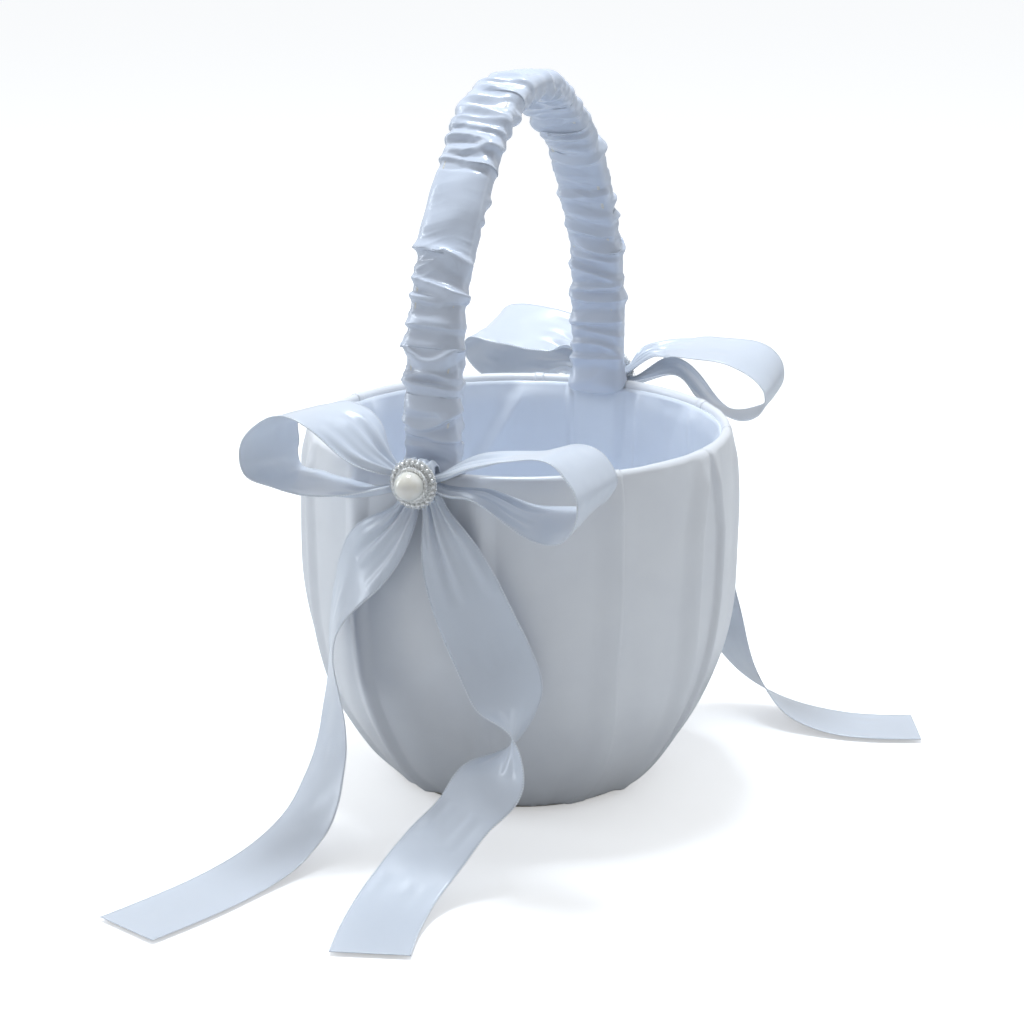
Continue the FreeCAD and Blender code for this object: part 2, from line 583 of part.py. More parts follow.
def turned_to_back(shape):
    """The same piece on the opposite side of the basket."""
    copy = shape.copy()
    copy.rotate(Vector(0, 0, 0), UP, BACK_TURN)
    return copy


def build():
    parts = {}
    cover = outer_cover()
    core = handle_core()
    shell = basket_shell()
    lining = inner_lining()
    for side, name in ((-1, "front"), (1, "back")):
        wires = staples(side)
        shell = shell.cut(wires)
        parts["handle_staples_" + name] = wires
    parts["basket_shell"] = shell
    parts["outer_cover"] = cover
    parts["inner_lining"] = lining
    parts["inner_base_board"] = inner_base_board()
    parts["base_disc"] = base_disc()
    parts["handle_core"] = core
    parts["handle_padding"] = handle_padding()
    parts["handle_sleeve"] = handle_sleeve()
    bow_trim = {
        "bow_knot": bow_knot(),
        "bow_glue_pad": bow_glue_pad(cover),
        "brooch_cup": brooch_cup(),
        "brooch_pearl": brooch_pearl(),
        "brooch_beads": brooch_beads(),
    }
    for name, shape in bow_trim.items():
        parts["front_" + name] = shape
        parts["back_" + name] = turned_to_back(shape)
    parts["front_bow_loop_left"] = front_loop_left()
    parts["front_bow_loop_right"] = front_loop_right()
    parts["back_bow_loop_left"] = back_loop_left()
    parts["back_bow_loop_right"] = back_loop_right()
    parts["front_tail_left"] = front_tail_left()
    parts["front_tail_right"] = front_tail_right()
    parts["back_tail_left"] = back_tail_left()
    parts["back_tail_right"] = back_tail_right()
    return parts


os.makedirs("parts", exist_ok=True)
for node, shape in build().items():
    shape.exportStep(os.path.join("parts", node + ".step"))
    print(node, len(shape.Solids), "valid" if shape.isValid() else "NOT VALID", round(shape.Volume, 1))
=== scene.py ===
import math

import bmesh
import bpy
import numpy as np
from mathutils import Euler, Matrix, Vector


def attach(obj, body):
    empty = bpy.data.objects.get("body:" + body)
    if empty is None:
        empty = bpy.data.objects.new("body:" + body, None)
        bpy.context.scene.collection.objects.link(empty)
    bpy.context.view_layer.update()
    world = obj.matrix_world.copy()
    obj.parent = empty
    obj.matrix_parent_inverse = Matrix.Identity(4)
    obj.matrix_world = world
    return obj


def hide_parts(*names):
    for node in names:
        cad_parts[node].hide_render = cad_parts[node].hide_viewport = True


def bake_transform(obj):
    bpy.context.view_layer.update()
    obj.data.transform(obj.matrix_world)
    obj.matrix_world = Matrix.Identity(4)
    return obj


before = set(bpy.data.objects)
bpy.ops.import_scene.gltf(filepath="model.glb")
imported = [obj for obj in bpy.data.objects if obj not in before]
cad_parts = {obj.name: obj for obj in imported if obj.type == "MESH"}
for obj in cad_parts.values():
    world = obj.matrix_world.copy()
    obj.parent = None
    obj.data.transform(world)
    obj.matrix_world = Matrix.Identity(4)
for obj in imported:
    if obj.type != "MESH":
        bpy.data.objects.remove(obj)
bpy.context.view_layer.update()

# Satin flower girl basket. Shapes are worked out in millimetres and written to the meshes in
# metres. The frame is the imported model's: origin on the floor, +Z up, front bow towards -Y.
MM = 0.001

# Wall of the basket, measured on the outside of the satin cover.
RIM_HEIGHT = 127.0
BASE_RADIUS = 42.7
BELLY_RADIUS = 74.3
BELLY_HEIGHT = 95.0
RIM_RADIUS = 73.2
RIM_ROLL = 2.0

# Cover: how far its surface lies in from the wall, the level of its hem under the base, the smallest
# radius at which its pleats keep their width, and the plain columns of its mesh between two pleats.
COVER_DEPTH = 0.35
HEM_LEVEL = 1.3
PLEATED_FROM = 42.0
PLAIN_COLUMNS = 22

# Lining: how far it lies in from the wall, its floor, its radius at the handle's ends and how far it
# stands over them. Then the board on its floor, with the height of its edge below its top.
LINING_DEPTH = 4.9
LINING_FLOOR = 5.0
LINING_RADIUS = 68.0
HANDLE_END_RISE = 2.1
BOARD_RADIUS = 39.3
BOARD_TOP = 7.2
BOARD_EDGE = 1.85

# Middle line of the handle.
HANDLE_HALF_SPAN = 69.2
STRAIGHT_TOP = 150.0
TOP_RADIUS = 46.0
APEX_HEIGHT = 243.5
APEX_SHIFT = -2.5
SLEEVE_HALF_WIDTH = 10.0
SLEEVE_HALF_DEPTH = 4.6
SLEEVE_SQUARENESS = 3.4
SLEEVE_ROW_STEP = 0.36

# Satin: the ribbon's full width, how thick the plain and the gathered cloth are, and the length from
# one loop of the ribbon's edge to the next.
RIBBON_WIDTH = 25.0
CLOTH = 0.3
GATHERED_CLOTH = 0.25
SELVAGE_PITCH = 0.9
# The ribbon and its selvage stay this far above the floor.
RIBBON_LOWEST = 0.35
SELVAGE_LOWEST = 0.4

# Knots of the bows and the brooches in front of them. Y is the distance from the middle.
KNOT_Y = 79.6
KNOT_Z = 126.0
KNOT_HALF_WIDTH = 6.3
KNOT_HALF_DEPTH = 3.5
KNOT_HALF_HEIGHT = 6.9
KNOT_CLOTH = 0.35
BROOCH_Y = 83.6
PEARL_RADIUS = 4.8
PEARL_FORWARD = 4.2
CUP_RADIUS = 5.6
CUP_DEPTH = 2.6
PLATE_THICKNESS = 0.8
BEAD_RING_RADIUS = 7.2
BEAD_RADIUS = 0.65
BEAD_COUNT = 24
LOOP_RADIUS = 0.92
LOOP_WIRE_RADIUS = 0.11
TWIST_WIRE_RADIUS = 0.17


# ---------------------------------------------------------------- numbers and curves

def smoothstep(low, high, value):
    """Smooth rise from 0 at low to 1 at high."""
    share = np.clip((np.asarray(value, float) - low) / (high - low), 0, 1)
    return share * share * (3 - 2 * share)


def drift(points, size, seed, waves=9):
    """Smooth wandering field of about -1 to 1 over points, with features of the given size."""
    draw = np.random.default_rng(seed)
    total = np.zeros(points.shape[:-1])
    for _ in range(waves):
        direction = draw.normal(size=3)
        direction /= np.linalg.norm(direction)
        pitch = 2 * math.pi / (size * draw.uniform(0.7, 1.6))
        total += np.sin(points @ direction * pitch + draw.uniform(0, 2 * math.pi))
    return total / math.sqrt(waves)


def natural_spline(knots, rows):
    """Natural cubic spline through rows of numbers, as a function of the knots' parameter."""
    knots = np.asarray(knots, float)
    rows = np.asarray(rows, float)
    gaps = np.diff(knots)
    count = len(knots)
    system = np.eye(count)
    right = np.zeros_like(rows)
    for i in range(1, count - 1):
        system[i, i - 1:i + 2] = (gaps[i - 1], 2 * (gaps[i - 1] + gaps[i]), gaps[i])
        right[i] = 6 * ((rows[i + 1] - rows[i]) / gaps[i] - (rows[i] - rows[i - 1]) / gaps[i - 1])
    bends = np.linalg.solve(system, right)

    def at(values):
        values = np.asarray(values, float)
        i = np.clip(np.searchsorted(knots, values, side="right") - 1, 0, count - 2)
        gap = gaps[i][:, None]
        a = (knots[i + 1] - values)[:, None] / gap
        b = (values - knots[i])[:, None] / gap
        curve = (a ** 3 - a) * bends[i] + (b ** 3 - b) * bends[i + 1]
        return a * rows[i] + b * rows[i + 1] + curve * gap * gap / 6

    return at


def unit(vectors):
    """Vectors of length 1."""
    return vectors / np.maximum(np.linalg.norm(vectors, axis=-1, keepdims=True), 1e-12)


def lengths_along(path):
    """Length of a path of points from its start to every point of it."""
    return np.concatenate([[0], np.cumsum(np.linalg.norm(np.diff(path, axis=0), axis=1))])


def level_circle(angles):
    """Points of the unit circle in the floor plane."""
    return np.stack([np.cos(angles), np.sin(angles), 0 * angles], -1)


def raised(circle, radius, level):
    """Points or pushes of a level circle that reach out by a radius and up by a level."""
    return circle * radius + np.array([0, 0, level])


def wall_radius(height):
    """Outer radius of the satin cover at a height."""
    height = np.asarray(height, float)
    low = BASE_RADIUS + (BELLY_RADIUS - BASE_RADIUS) * (1 - (1 - height / BELLY_HEIGHT) ** 3)
    above = (height - BELLY_HEIGHT) / (RIM_HEIGHT - BELLY_HEIGHT)
    high = BELLY_RADIUS - (BELLY_RADIUS - RIM_RADIUS) * above ** 2
    return np.where(height < BELLY_HEIGHT, low, high)


def wall_rows(heights, depth):
    """Radius, height and outward direction of points that lie a depth below the cover."""
    step = 0.05
    slope = (wall_radius(heights + step) - wall_radius(heights - step)) / (2 * step)
    length = np.hypot(1, slope)
    out = np.stack([1 / length, -slope / length], -1)
    return wall_radius(heights) - depth * out[:, 0], heights - depth * out[:, 1], out


# ---------------------------------------------------------------- meshes and objects

def new_object(name, data):
    """Object in the scene, with its mesh, light or camera."""
    obj = bpy.data.objects.new(name, data)
    bpy.context.scene.collection.objects.link(obj)
    return obj


def make_object(name, vertices, faces, cloth=None):
    """Mesh object from points in millimetres. cloth gives each point's place on the flat cloth."""
    mesh = bpy.data.meshes.new(name)
    faces = faces.tolist() if isinstance(faces, np.ndarray) else faces
    mesh.from_pydata((np.asarray(vertices, float) * MM).tolist(), [], faces)
    mesh.polygons.foreach_set("use_smooth", [True] * len(mesh.polygons))
    if cloth is not None:
        layer = mesh.attributes.new("cloth", "FLOAT_VECTOR", "POINT")
        places = np.zeros((len(vertices), 3), np.float32)
        places[:, :2] = np.asarray(cloth, float).reshape(-1, 2)
        layer.data.foreach_set("vector", places.ravel())
    mesh.update()
    return new_object(name, mesh)


def grid_faces(rows, columns, around=False, ring=False):
    """Quads of a grid. around joins the last column to the first, and ring the last row."""
    i = np.arange(rows if ring else rows - 1)[:, None]
    j = np.arange(columns if around else columns - 1)[None, :]
    below = (i + 1) % rows
    beside = (j + 1) % columns
    quads = [i * columns + j, i * columns + beside, below * columns + beside, below * columns + j]
    return np.stack([q + 0 * i + 0 * j for q in quads], -1).reshape(-1, 4)


def grid_object(name, points, cloth=None, around=False, ring=False, flip=False):
    """Object from a (rows, columns, 3) array of points."""
    rows, columns = points.shape[:2]
    faces = grid_faces(rows, columns, around, ring)
    if flip:
        faces = faces[:, ::-1]
    return make_object(name, points.reshape(-1, 3), faces, cloth)


def apply_modifiers(obj):
    """The mesh as its modifiers leave it, with no modifiers on the object."""
    bpy.context.view_layer.update()
    seen = obj.evaluated_get(bpy.context.evaluated_depsgraph_get())
    mesh = bpy.data.meshes.new_from_object(seen)
    mesh.name = obj.name
    obj.modifiers.clear()
    obj.data = mesh
    return obj


def thicken(obj, thickness=CLOTH, offset=0.0):
    """Give a sheet its cloth's thickness. offset -1 grows it away from its faces' side."""
    solid = obj.modifiers.new("thickness", "SOLIDIFY")
    solid.thickness = thickness * MM
    solid.offset = offset
    return apply_modifiers(obj)


def half_turned(obj, name):
    """Copy of an object on the opposite side of the basket."""
    copy = obj.copy()
    copy.data = obj.data.copy()
    copy.name = name
    copy.data.name = name
    turn = Euler((0, 0, math.pi)).to_matrix().to_4x4()
    copy.data.transform(turn)
    bpy.context.scene.collection.objects.link(copy)
    return copy


def balls(name, centers, radii, segments=12, rings=8):
    """One object of many small balls."""
    turns = np.arange(segments) * 2 * math.pi / segments
    tilts = (np.arange(rings + 1) / rings - 0.5) * math.pi
    shape = np.stack([
        np.cos(tilts)[:, None] * np.cos(turns)[None, :],
        np.cos(tilts)[:, None] * np.sin(turns)[None, :],
        np.sin(tilts)[:, None] + 0 * turns[None, :],
    ], -1)
    body = shape[1:-1].reshape(-1, 3)
    ball = np.vstack([body, [[0, 0, -1], [0, 0, 1]]])
    quads = grid_faces(rings - 1, segments, around=True)
    low, high = len(body), len(body) + 1
    top_row = (rings - 2) * segments
    faces = [tuple(quad) for quad in quads.tolist()]
    for j in range(segments):
        k = (j + 1) % segments
        faces.append((k, j, low))
        faces.append((top_row + j, top_row + k, high))
    vertices = []
    all_faces = []
    for center, radius in zip(centers, radii):
        start = len(vertices)
        vertices.extend((ball * radius + np.asarray(center)).tolist())
        all_faces.extend(tuple(start + index for index in face) for face in faces)
    return make_object(name, vertices, all_faces)


def wire_points(path, radii, sides=6, closed=False):
    """Grid of points of a thin tube round a path."""
    if closed:
        along = unit(np.roll(path, -1, axis=0) - np.roll(path, 1, axis=0))
    else:
        along = unit(np.gradient(path, axis=0))
    aside = unit(np.cross(along, np.array([0.31, 0.17, 0.93])))
    third = np.cross(along, aside)
    turns = np.arange(sides) * 2 * math.pi / sides
    spread = np.cos(turns)[None, :, None] * aside[:, None] + np.sin(turns)[None, :, None] * third[:, None]
    return path[:, None] + spread * np.asarray(radii, float).reshape(-1, 1, 1)


def add_tube(vertices, faces, path, radii, sides=6, closed=True):
    """Put the points and faces of a thin tube round a path at the end of two lists."""
    start = len(vertices)
    vertices.extend(wire_points(path, radii, sides, closed).reshape(-1, 3).tolist())
    faces.extend((grid_faces(len(path), sides, around=True, ring=closed) + start).tolist())


# ---------------------------------------------------------------- materials

def node_material(name):
    """New material and its node tree, with one Principled shader."""
    material = bpy.data.materials.new(name)
    material.use_nodes = True
    tree = material.node_tree
    shader = tree.nodes["Principled BSDF"]
    return material, tree, shader


def set_inputs(node, values):
    """Give inputs of a node their values by name."""
    for name, value in values.items():
        node.inputs[name].default_value = value


def add(tree, kind, inputs=None, **properties):
    """Node of a kind, with the given inputs and properties."""
    node = tree.nodes.new(kind)
    for key, value in properties.items():
        setattr(node, key, value)
    set_inputs(node, inputs or {})
    return node


def colour_blend(tree, factor, low, high, first, second):
    """Colour that goes from first to second as factor goes from low to high."""
    ramp = add(tree, "ShaderNodeValToRGB")
    ramp.color_ramp.elements[0].position = low
    ramp.color_ramp.elements[0].color = (*first, 1)
    ramp.color_ramp.elements[1].position = high
    ramp.color_ramp.elements[1].color = (*second, 1)
    tree.links.new(factor, ramp.inputs["Fac"])
    return ramp.outputs["Color"]


def cloudy_noise(tree, scale, detail):
    """Noise over the object's own space, as a factor."""
    body = add(tree, "ShaderNodeTexCoord")
    clouds = add(tree, "ShaderNodeTexNoise", {"Scale": scale, "Detail": detail})
    tree.links.new(body.outputs["Object"], clouds.inputs["Vector"])
    return clouds.outputs["Fac"]


def set_roughness(tree, shader, factor, low, high):
    """Roughness that goes from low to high with the factor."""
    rough = add(tree, "ShaderNodeMapRange", {"To Min": low, "To Max": high})
    tree.links.new(factor, rough.inputs["Value"])
    tree.links.new(rough.outputs["Result"], shader.inputs["Roughness"])


def relief(tree, height, strength, distance, under=None):
    """Bump from a height, on top of the bump under it."""
    bump = add(tree, "ShaderNodeBump", {"Strength": strength, "Distance": distance})
    tree.links.new(height, bump.inputs["Height"])
    if under:
        tree.links.new(under, bump.inputs["Normal"])
    return bump.outputs["Normal"]


def satin(name, light, shade, roughness, rib=0.42, through=0.0):
    """Satin cloth: fine ribs across, slightly uneven shine and colour.

    rib is their spacing in mm, and through the share of light that passes into the cloth."""
    material, tree, shader = node_material(name)
    links = tree.links
    place = add(tree, "ShaderNodeAttribute", attribute_name="cloth")
    ribs = add(tree, "ShaderNodeTexWave", wave_type="BANDS", bands_direction="X")
    set_inputs(ribs, {"Scale": math.pi / 10 / rib, "Distortion": 0.6, "Detail": 1.0, "Detail Scale": 0.6})
    links.new(place.outputs["Vector"], ribs.inputs["Vector"])
    threads = add(tree, "ShaderNodeTexWave", wave_type="BANDS", bands_direction="Y")
    set_inputs(threads, {"Scale": math.pi / 10 / (rib * 0.62), "Distortion": 0.4})
    links.new(place.outputs["Vector"], threads.inputs["Vector"])
    clouds = cloudy_noise(tree, 55.0, 3.0)
    links.new(colour_blend(tree, clouds, 0.35, 0.65, shade, light), shader.inputs["Base Color"])
    set_roughness(tree, shader, clouds, roughness - 0.015, roughness + 0.02)
    weave = relief(tree, ribs.outputs["Fac"], 0.12, 0.00004)
    fine = relief(tree, threads.outputs["Fac"], 0.08, 0.00003, under=weave)
    links.new(fine, shader.inputs["Normal"])
    set_inputs(shader, {
        "Sheen Weight": 0.25, "Sheen Roughness": 0.35, "Specular IOR Level": 0.7,
        "Coat Weight": 0.25, "Coat Roughness": 0.2,
        "Subsurface Weight": through, "Subsurface Radius": (1.0, 1.0, 1.0), "Subsurface Scale": 0.001,
    })
    return material


def rough_solid(name, light, shade, scale, roughness, bump, metallic=0.0, grain=3.0):
    """Material with a mottled colour and a grain in its bump, for all that is neither satin nor pearl."""
    material, tree, shader = node_material(name)
    clouds = cloudy_noise(tree, scale, grain)
    tree.links.new(colour_blend(tree, clouds, 0.3, 0.7, shade, light), shader.inputs["Base Color"])
    tree.links.new(relief(tree, clouds, bump, 0.0002), shader.inputs["Normal"])
    set_roughness(tree, shader, clouds, max(roughness - 0.08, 0.02), min(roughness + 0.08, 1.0))
    shader.inputs["Metallic"].default_value = metallic
    return material


def pearl_material():
    """Nacre: mottled cream, with painted shade that greys it towards its outline as seen from the camera, and
    a deep gloss.
    """
    material, tree, shader = node_material("pearl_nacre")
    links = tree.links
    edge = add(tree, "ShaderNodeLayerWeight", {"Blend": 0.35})
    clouds = cloudy_noise(tree, 260.0, 2.0)
    warm = colour_blend(tree, clouds, 0.35, 0.65, (0.88, 0.84, 0.74), (0.93, 0.90, 0.85))
    # Painted shade: the colour greys towards the pearl's outline, where its surface turns away from the view.
    cool = colour_blend(tree, edge.outputs["Facing"], 0.15, 0.85, (1.0, 1.0, 1.0), (0.80, 0.84, 0.86))
    mix = add(tree, "ShaderNodeMix", {"Factor": 1.0}, data_type="RGBA", blend_type="MULTIPLY")
    links.new(warm, mix.inputs["A"])
    links.new(cool, mix.inputs["B"])
    links.new(mix.outputs["Result"], shader.inputs["Base Color"])
    set_inputs(shader, {"Roughness": 0.16, "Specular IOR Level": 0.75, "Coat Weight": 0.6,
                        "Coat Roughness": 0.05})
    return material


SATIN_COVER = satin("satin_cover_cloth", (0.83, 0.845, 0.875), (0.80, 0.815, 0.85), roughness=0.3)
SATIN_LINING = satin("satin_lining_cloth", (0.83, 0.88, 0.96), (0.80, 0.85, 0.935), roughness=0.42)
# The sleeve is the same white satin as the cover, with painted shade: its colour is set darker so that the
# handle's faces look shaded.
SATIN_SLEEVE_PAINTED_SHADE = satin("satin_sleeve_cloth", (0.64, 0.69, 0.79), (0.61, 0.665, 0.77), roughness=0.22)
# The ribbons and knots are the same white satin as the cover, with painted shade: their colour is set darker
# than the cover's to hold them down under the stronger light that reaches them.
SATIN_RIBBON_PAINTED_SHADE = satin("satin_ribbon_cloth", (0.66, 0.71, 0.80), (0.65, 0.70, 0.79),
                     roughness=0.3, rib=0.5, through=0.6)
SELVAGE = rough_solid("ribbon_selvage_thread", (0.93, 0.95, 0.98), (0.78, 0.83, 0.92),
                      scale=2600.0, roughness=0.4, bump=0.5)
MOULDED = rough_solid("moulded_shell_plastic", (0.74, 0.74, 0.73), (0.68, 0.68, 0.67),
                      scale=420.0, roughness=0.5, bump=0.3)
CORE = rough_solid("core_strip_plastic", (0.62, 0.63, 0.64), (0.52, 0.53, 0.55),
                   scale=300.0, roughness=0.4, bump=0.2)
CARD = rough_solid("card_board", (0.66, 0.63, 0.57), (0.56, 0.53, 0.47),
                   scale=900.0, roughness=0.9, bump=0.7, grain=8.0)
FOAM = rough_solid("padding_foam", (0.80, 0.79, 0.75), (0.60, 0.59, 0.55),
                   scale=1500.0, roughness=0.95, bump=1.0, grain=6.0)
STAPLE = rough_solid("staple_wire_steel", (0.66, 0.66, 0.66), (0.52, 0.52, 0.53),
                     scale=1200.0, roughness=0.3, bump=0.3, metallic=1.0)
GLUE = rough_solid("set_glue", (0.80, 0.78, 0.70), (0.70, 0.68, 0.60),
                   scale=260.0, roughness=0.25, bump=0.5)
SILVER = rough_solid("brooch_silver", (0.96, 0.96, 0.95), (0.84, 0.84, 0.83),
                     scale=1500.0, roughness=0.26, bump=0.3, metallic=0.55)
BEAD = rough_solid("brooch_bead_silver", (0.98, 0.98, 0.97), (0.90, 0.90, 0.89),
                   scale=1100.0, roughness=0.12, bump=0.15, metallic=0.5)
PEARL = pearl_material()


def finish_piece(obj, body, material, nodes=()):
    """Give a piece its material and body, and hide the CAD nodes that it stands for."""
    obj.data.materials.clear()
    obj.data.materials.append(material)
    if body:
        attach(obj, body)
    if nodes:
        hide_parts(*nodes)
    return obj


# ---------------------------------------------------------------- ribbons

def ribbon_surface(stations, step=0.5, columns=31, seed=1, folds=3, ripple=0.35):
    """Points, cloth places and length of a ribbon through (middle, across, width) stations.

    Where the ribbon is drawn narrower than its own width, the rest goes into folds along it."""
    middles = np.array([point for point, across, width in stations], float)
    knots = lengths_along(middles)
    route = natural_spline(knots, middles)
    widths = np.array([width for point, across, width in stations], float)
    small = 0.01
    along = unit(route(knots + small) - route(knots - small))
    across = np.array([across for point, across, width in stations], float)
    across = unit(across - along * (across * along).sum(-1, keepdims=True))
    half = across * widths[:, None] / 2
    left = natural_spline(knots, middles - half)
    right = natural_spline(knots, middles + half)
    places = np.linspace(0, knots[-1], int(knots[-1] / step) + 1)
    low, high = left(places), right(places)
    width = np.linalg.norm(high - low, axis=1)
    middle = (low + high) / 2
    along = unit(np.gradient(middle, axis=0))
    out = unit(np.cross(along, unit(high - low)))
    q = np.linspace(-1, 1, columns)
    points = low[:, None] + (high - low)[:, None] * ((q + 1) / 2)[None, :, None]
    spare = np.sqrt(2 * np.maximum((RIBBON_WIDTH / width) ** 2 - 1, 0))
    deep = np.minimum(width / (2 * math.pi * folds) * spare, 1.5)
    phase = math.pi * (0.5 + 0.22 * math.sin(seed))
    wave = 0.62 * np.sin(math.pi * folds * q[None, :] + phase)
    wave = wave + 0.38 * np.sin(math.pi * (folds * 1.6) * q[None, :] + 2.3 * phase)
    lift = deep[:, None] * wave * 0.85
    sway = drift(points, 34.0, seed) * ripple + drift(points, 13.0, seed + 50) * ripple * 0.25
    free = smoothstep(0, 9, points[..., 2])
    lift = lift + sway * free
    points = points + out[:, None] * lift[..., None]
    points[..., 2] = np.maximum(points[..., 2], RIBBON_LOWEST)
    cloth = np.stack([
        places[:, None] + 0 * q[None, :],
        0 * places[:, None] + q[None, :] * RIBBON_WIDTH / 2,
    ], -1)
    return points, cloth, knots[-1]


def selvage(name, points):
    """Tiny woven loops along both edges of a ribbon."""
    vertices = []
    faces = []
    for column in (0, -1):
        edge = points[:, column]
        run = lengths_along(edge)
        count = int(run[-1] / SELVAGE_PITCH) * 4
        places = np.linspace(0, run[-1], count + 1)
        path = np.stack([np.interp(places, run, edge[:, k]) for k in range(3)], -1)
        swell = 0.22 + 0.14 * np.cos(places / SELVAGE_PITCH * 2 * math.pi)
        path[:, 2] = np.maximum(path[:, 2], SELVAGE_LOWEST)
        add_tube(vertices, faces, path, swell, sides=5, closed=False)
    return make_object(name, vertices, faces)


def tube_ends_closed(obj):
    """Fill the open ends of tubes."""
    work = bmesh.new()
    work.from_mesh(obj.data)
    loose = [edge for edge in work.edges if edge.is_boundary]
    bmesh.ops.holes_fill(work, edges=loose, sides=8)
    work.to_mesh(obj.data)
    work.free()
    return obj


def ribbon_piece(name, stations, tail_body=None, seed=1, folds=3):
    """A length of ribbon with its selvages, in place of the CAD ribbon of the same name."""
    points, cloth, length = ribbon_surface(stations, seed=seed, folds=folds)
    piece = thicken(grid_object(name + "_satin", points, cloth))
    edges = tube_ends_closed(selvage(name + "_selvage", points))
    bodies = None if tail_body else "root"
    finish_piece(piece, bodies, SATIN_RIBBON_PAINTED_SHADE, [name])
    finish_piece(edges, bodies, SELVAGE)
    if tail_body:
        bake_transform(piece)
        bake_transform(edges)
    return piece


def heading(degrees):
    """Unit direction in the floor plane, turned from +X towards +Y."""
    angle = math.radians(degrees)
    return (math.cos(angle), math.sin(angle), 0.0)


OUTWARD_FRONT = (0.0, -1.0, 0.0)
OUTWARD_BACK = (0.0, 1.0, 0.0)

FRONT_LOOP_LEFT = (
    (-7.9, -79.2, 127.6, 6, OUTWARD_FRONT), (-12.8, -80.4, 131.5, 13, (-0.01, -0.99, -0.17)),
    (-17.5, -82.0, 136.1, 20, (-0.12, -0.94, -0.32)), (-24.0, -82.0, 141.6, 24, (-0.05, -0.95, -0.32)),
    (-30.8, -82.0, 144.5, 25, (0.06, -0.98, -0.18)), (-38.0, -82.0, 145.4, 25, (0.12, -0.99, 0.04)),
    (-45.7, -82.0, 144.4, 25, (0.09, -0.98, 0.18)), (-51.8, -82.0, 139.4, 25, (-0.11, -0.97, 0.19)),
    (-53.8, -82.0, 132.4, 25, (-0.39, -0.92, 0.05)), (-53.1, -82.0, 126.4, 25, (-0.33, -0.94, 0.01)),
    (-48.7, -82.0, 122.8, 25, (-0.10, -1.00, 0.02)), (-42.4, -82.0, 121.7, 25, (0.02, -1.00, -0.03)),
    (-36.9, -82.0, 120.8, 25, (0.10, -0.99, -0.03)), (-28.2, -82.0, 120.6, 25, (0.24, -0.97, 0.02)),
    (-19.8, -82.0, 120.5, 20, (0.37, -0.93, 0.10)), (-12.7, -81.0, 121.8, 13, (0.31, -0.94, 0.15)),
    (-7.9, -79.2, 123.2, 6, OUTWARD_FRONT),
)
FRONT_LOOP_RIGHT = (
    (7.6, -79.2, 128.2, 6, OUTWARD_FRONT), (15.0, -80.4, 132.0, 12, (0.17, -0.99, -0.01)),
    (25.5, -82.0, 135.9, 19, (0.21, -0.97, 0.09)), (33.7, -82.0, 137.8, 24, (0.21, -0.97, 0.15)),
    (40.4, -82.0, 139.2, 25, (0.14, -0.98, 0.15)), (52.6, -82.0, 140.9, 25, (-0.15, -0.99, 0.02)),
    (57.5, -82.0, 138.5, 25, (-0.17, -0.99, -0.03)), (60.6, -82.0, 135.5, 25, (-0.17, -0.98, -0.04)),
    (63.0, -82.0, 130.7, 25, (-0.17, -0.98, -0.10)), (62.0, -82.0, 125.9, 25, (-0.11, -0.99, -0.08)),
    (59.7, -82.0, 121.7, 25, (-0.03, -1.00, -0.09)), (55.1, -82.0, 118.4, 25, (0.04, -0.98, -0.18)),
    (49.8, -82.0, 117.6, 25, (0.08, -0.97, -0.21)), (42.9, -82.0, 118.2, 25, (0.12, -0.98, -0.14)),
    (34.5, -82.0, 120.5, 22, (0.11, -0.99, -0.05)), (24.3, -81.5, 124.2, 16, (0.19, -0.98, 0.01)),
    (7.6, -79.2, 123.4, 6, OUTWARD_FRONT),
)
BACK_LOOP_RIGHT = (
    (7.6, 79.4, 128.8, 6, OUTWARD_BACK), (14.0, 83.0, 134.8, 12, (-0.22, 0.96, 0.15)),
    (17.6, 86.5, 135.8, 19, (-0.37, 0.93, 0.07)), (25.3, 88.0, 137.2, 24, (-0.33, 0.94, 0.05)),
    (34.9, 88.0, 137.7, 25, (-0.34, 0.94, 0.10)), (46.2, 88.0, 137.3, 25, (-0.33, 0.93, 0.16)),
    (54.6, 88.0, 135.1, 25, (-0.22, 0.94, 0.26)), (59.8, 88.0, 131.1, 25, (-0.13, 0.96, 0.26)),
    (62.0, 88.0, 125.9, 25, (-0.09, 0.98, 0.18)), (59.9, 88.0, 119.5, 25, (-0.12, 0.99, 0.09)),
    (54.8, 88.0, 115.7, 25, (-0.14, 0.99, 0.01)), (48.5, 88.0, 114.7, 25, (-0.17, 0.98, -0.08)),
    (40.7, 88.0, 116.1, 25, (-0.20, 0.97, -0.17)), (32.3, 88.0, 122.3, 22, (-0.09, 0.99, -0.09)),
    (24.2, 84.0, 129.8, 16, (0.11, 0.99, 0.05)), (7.6, 79.4, 124.2, 6, OUTWARD_BACK),
)
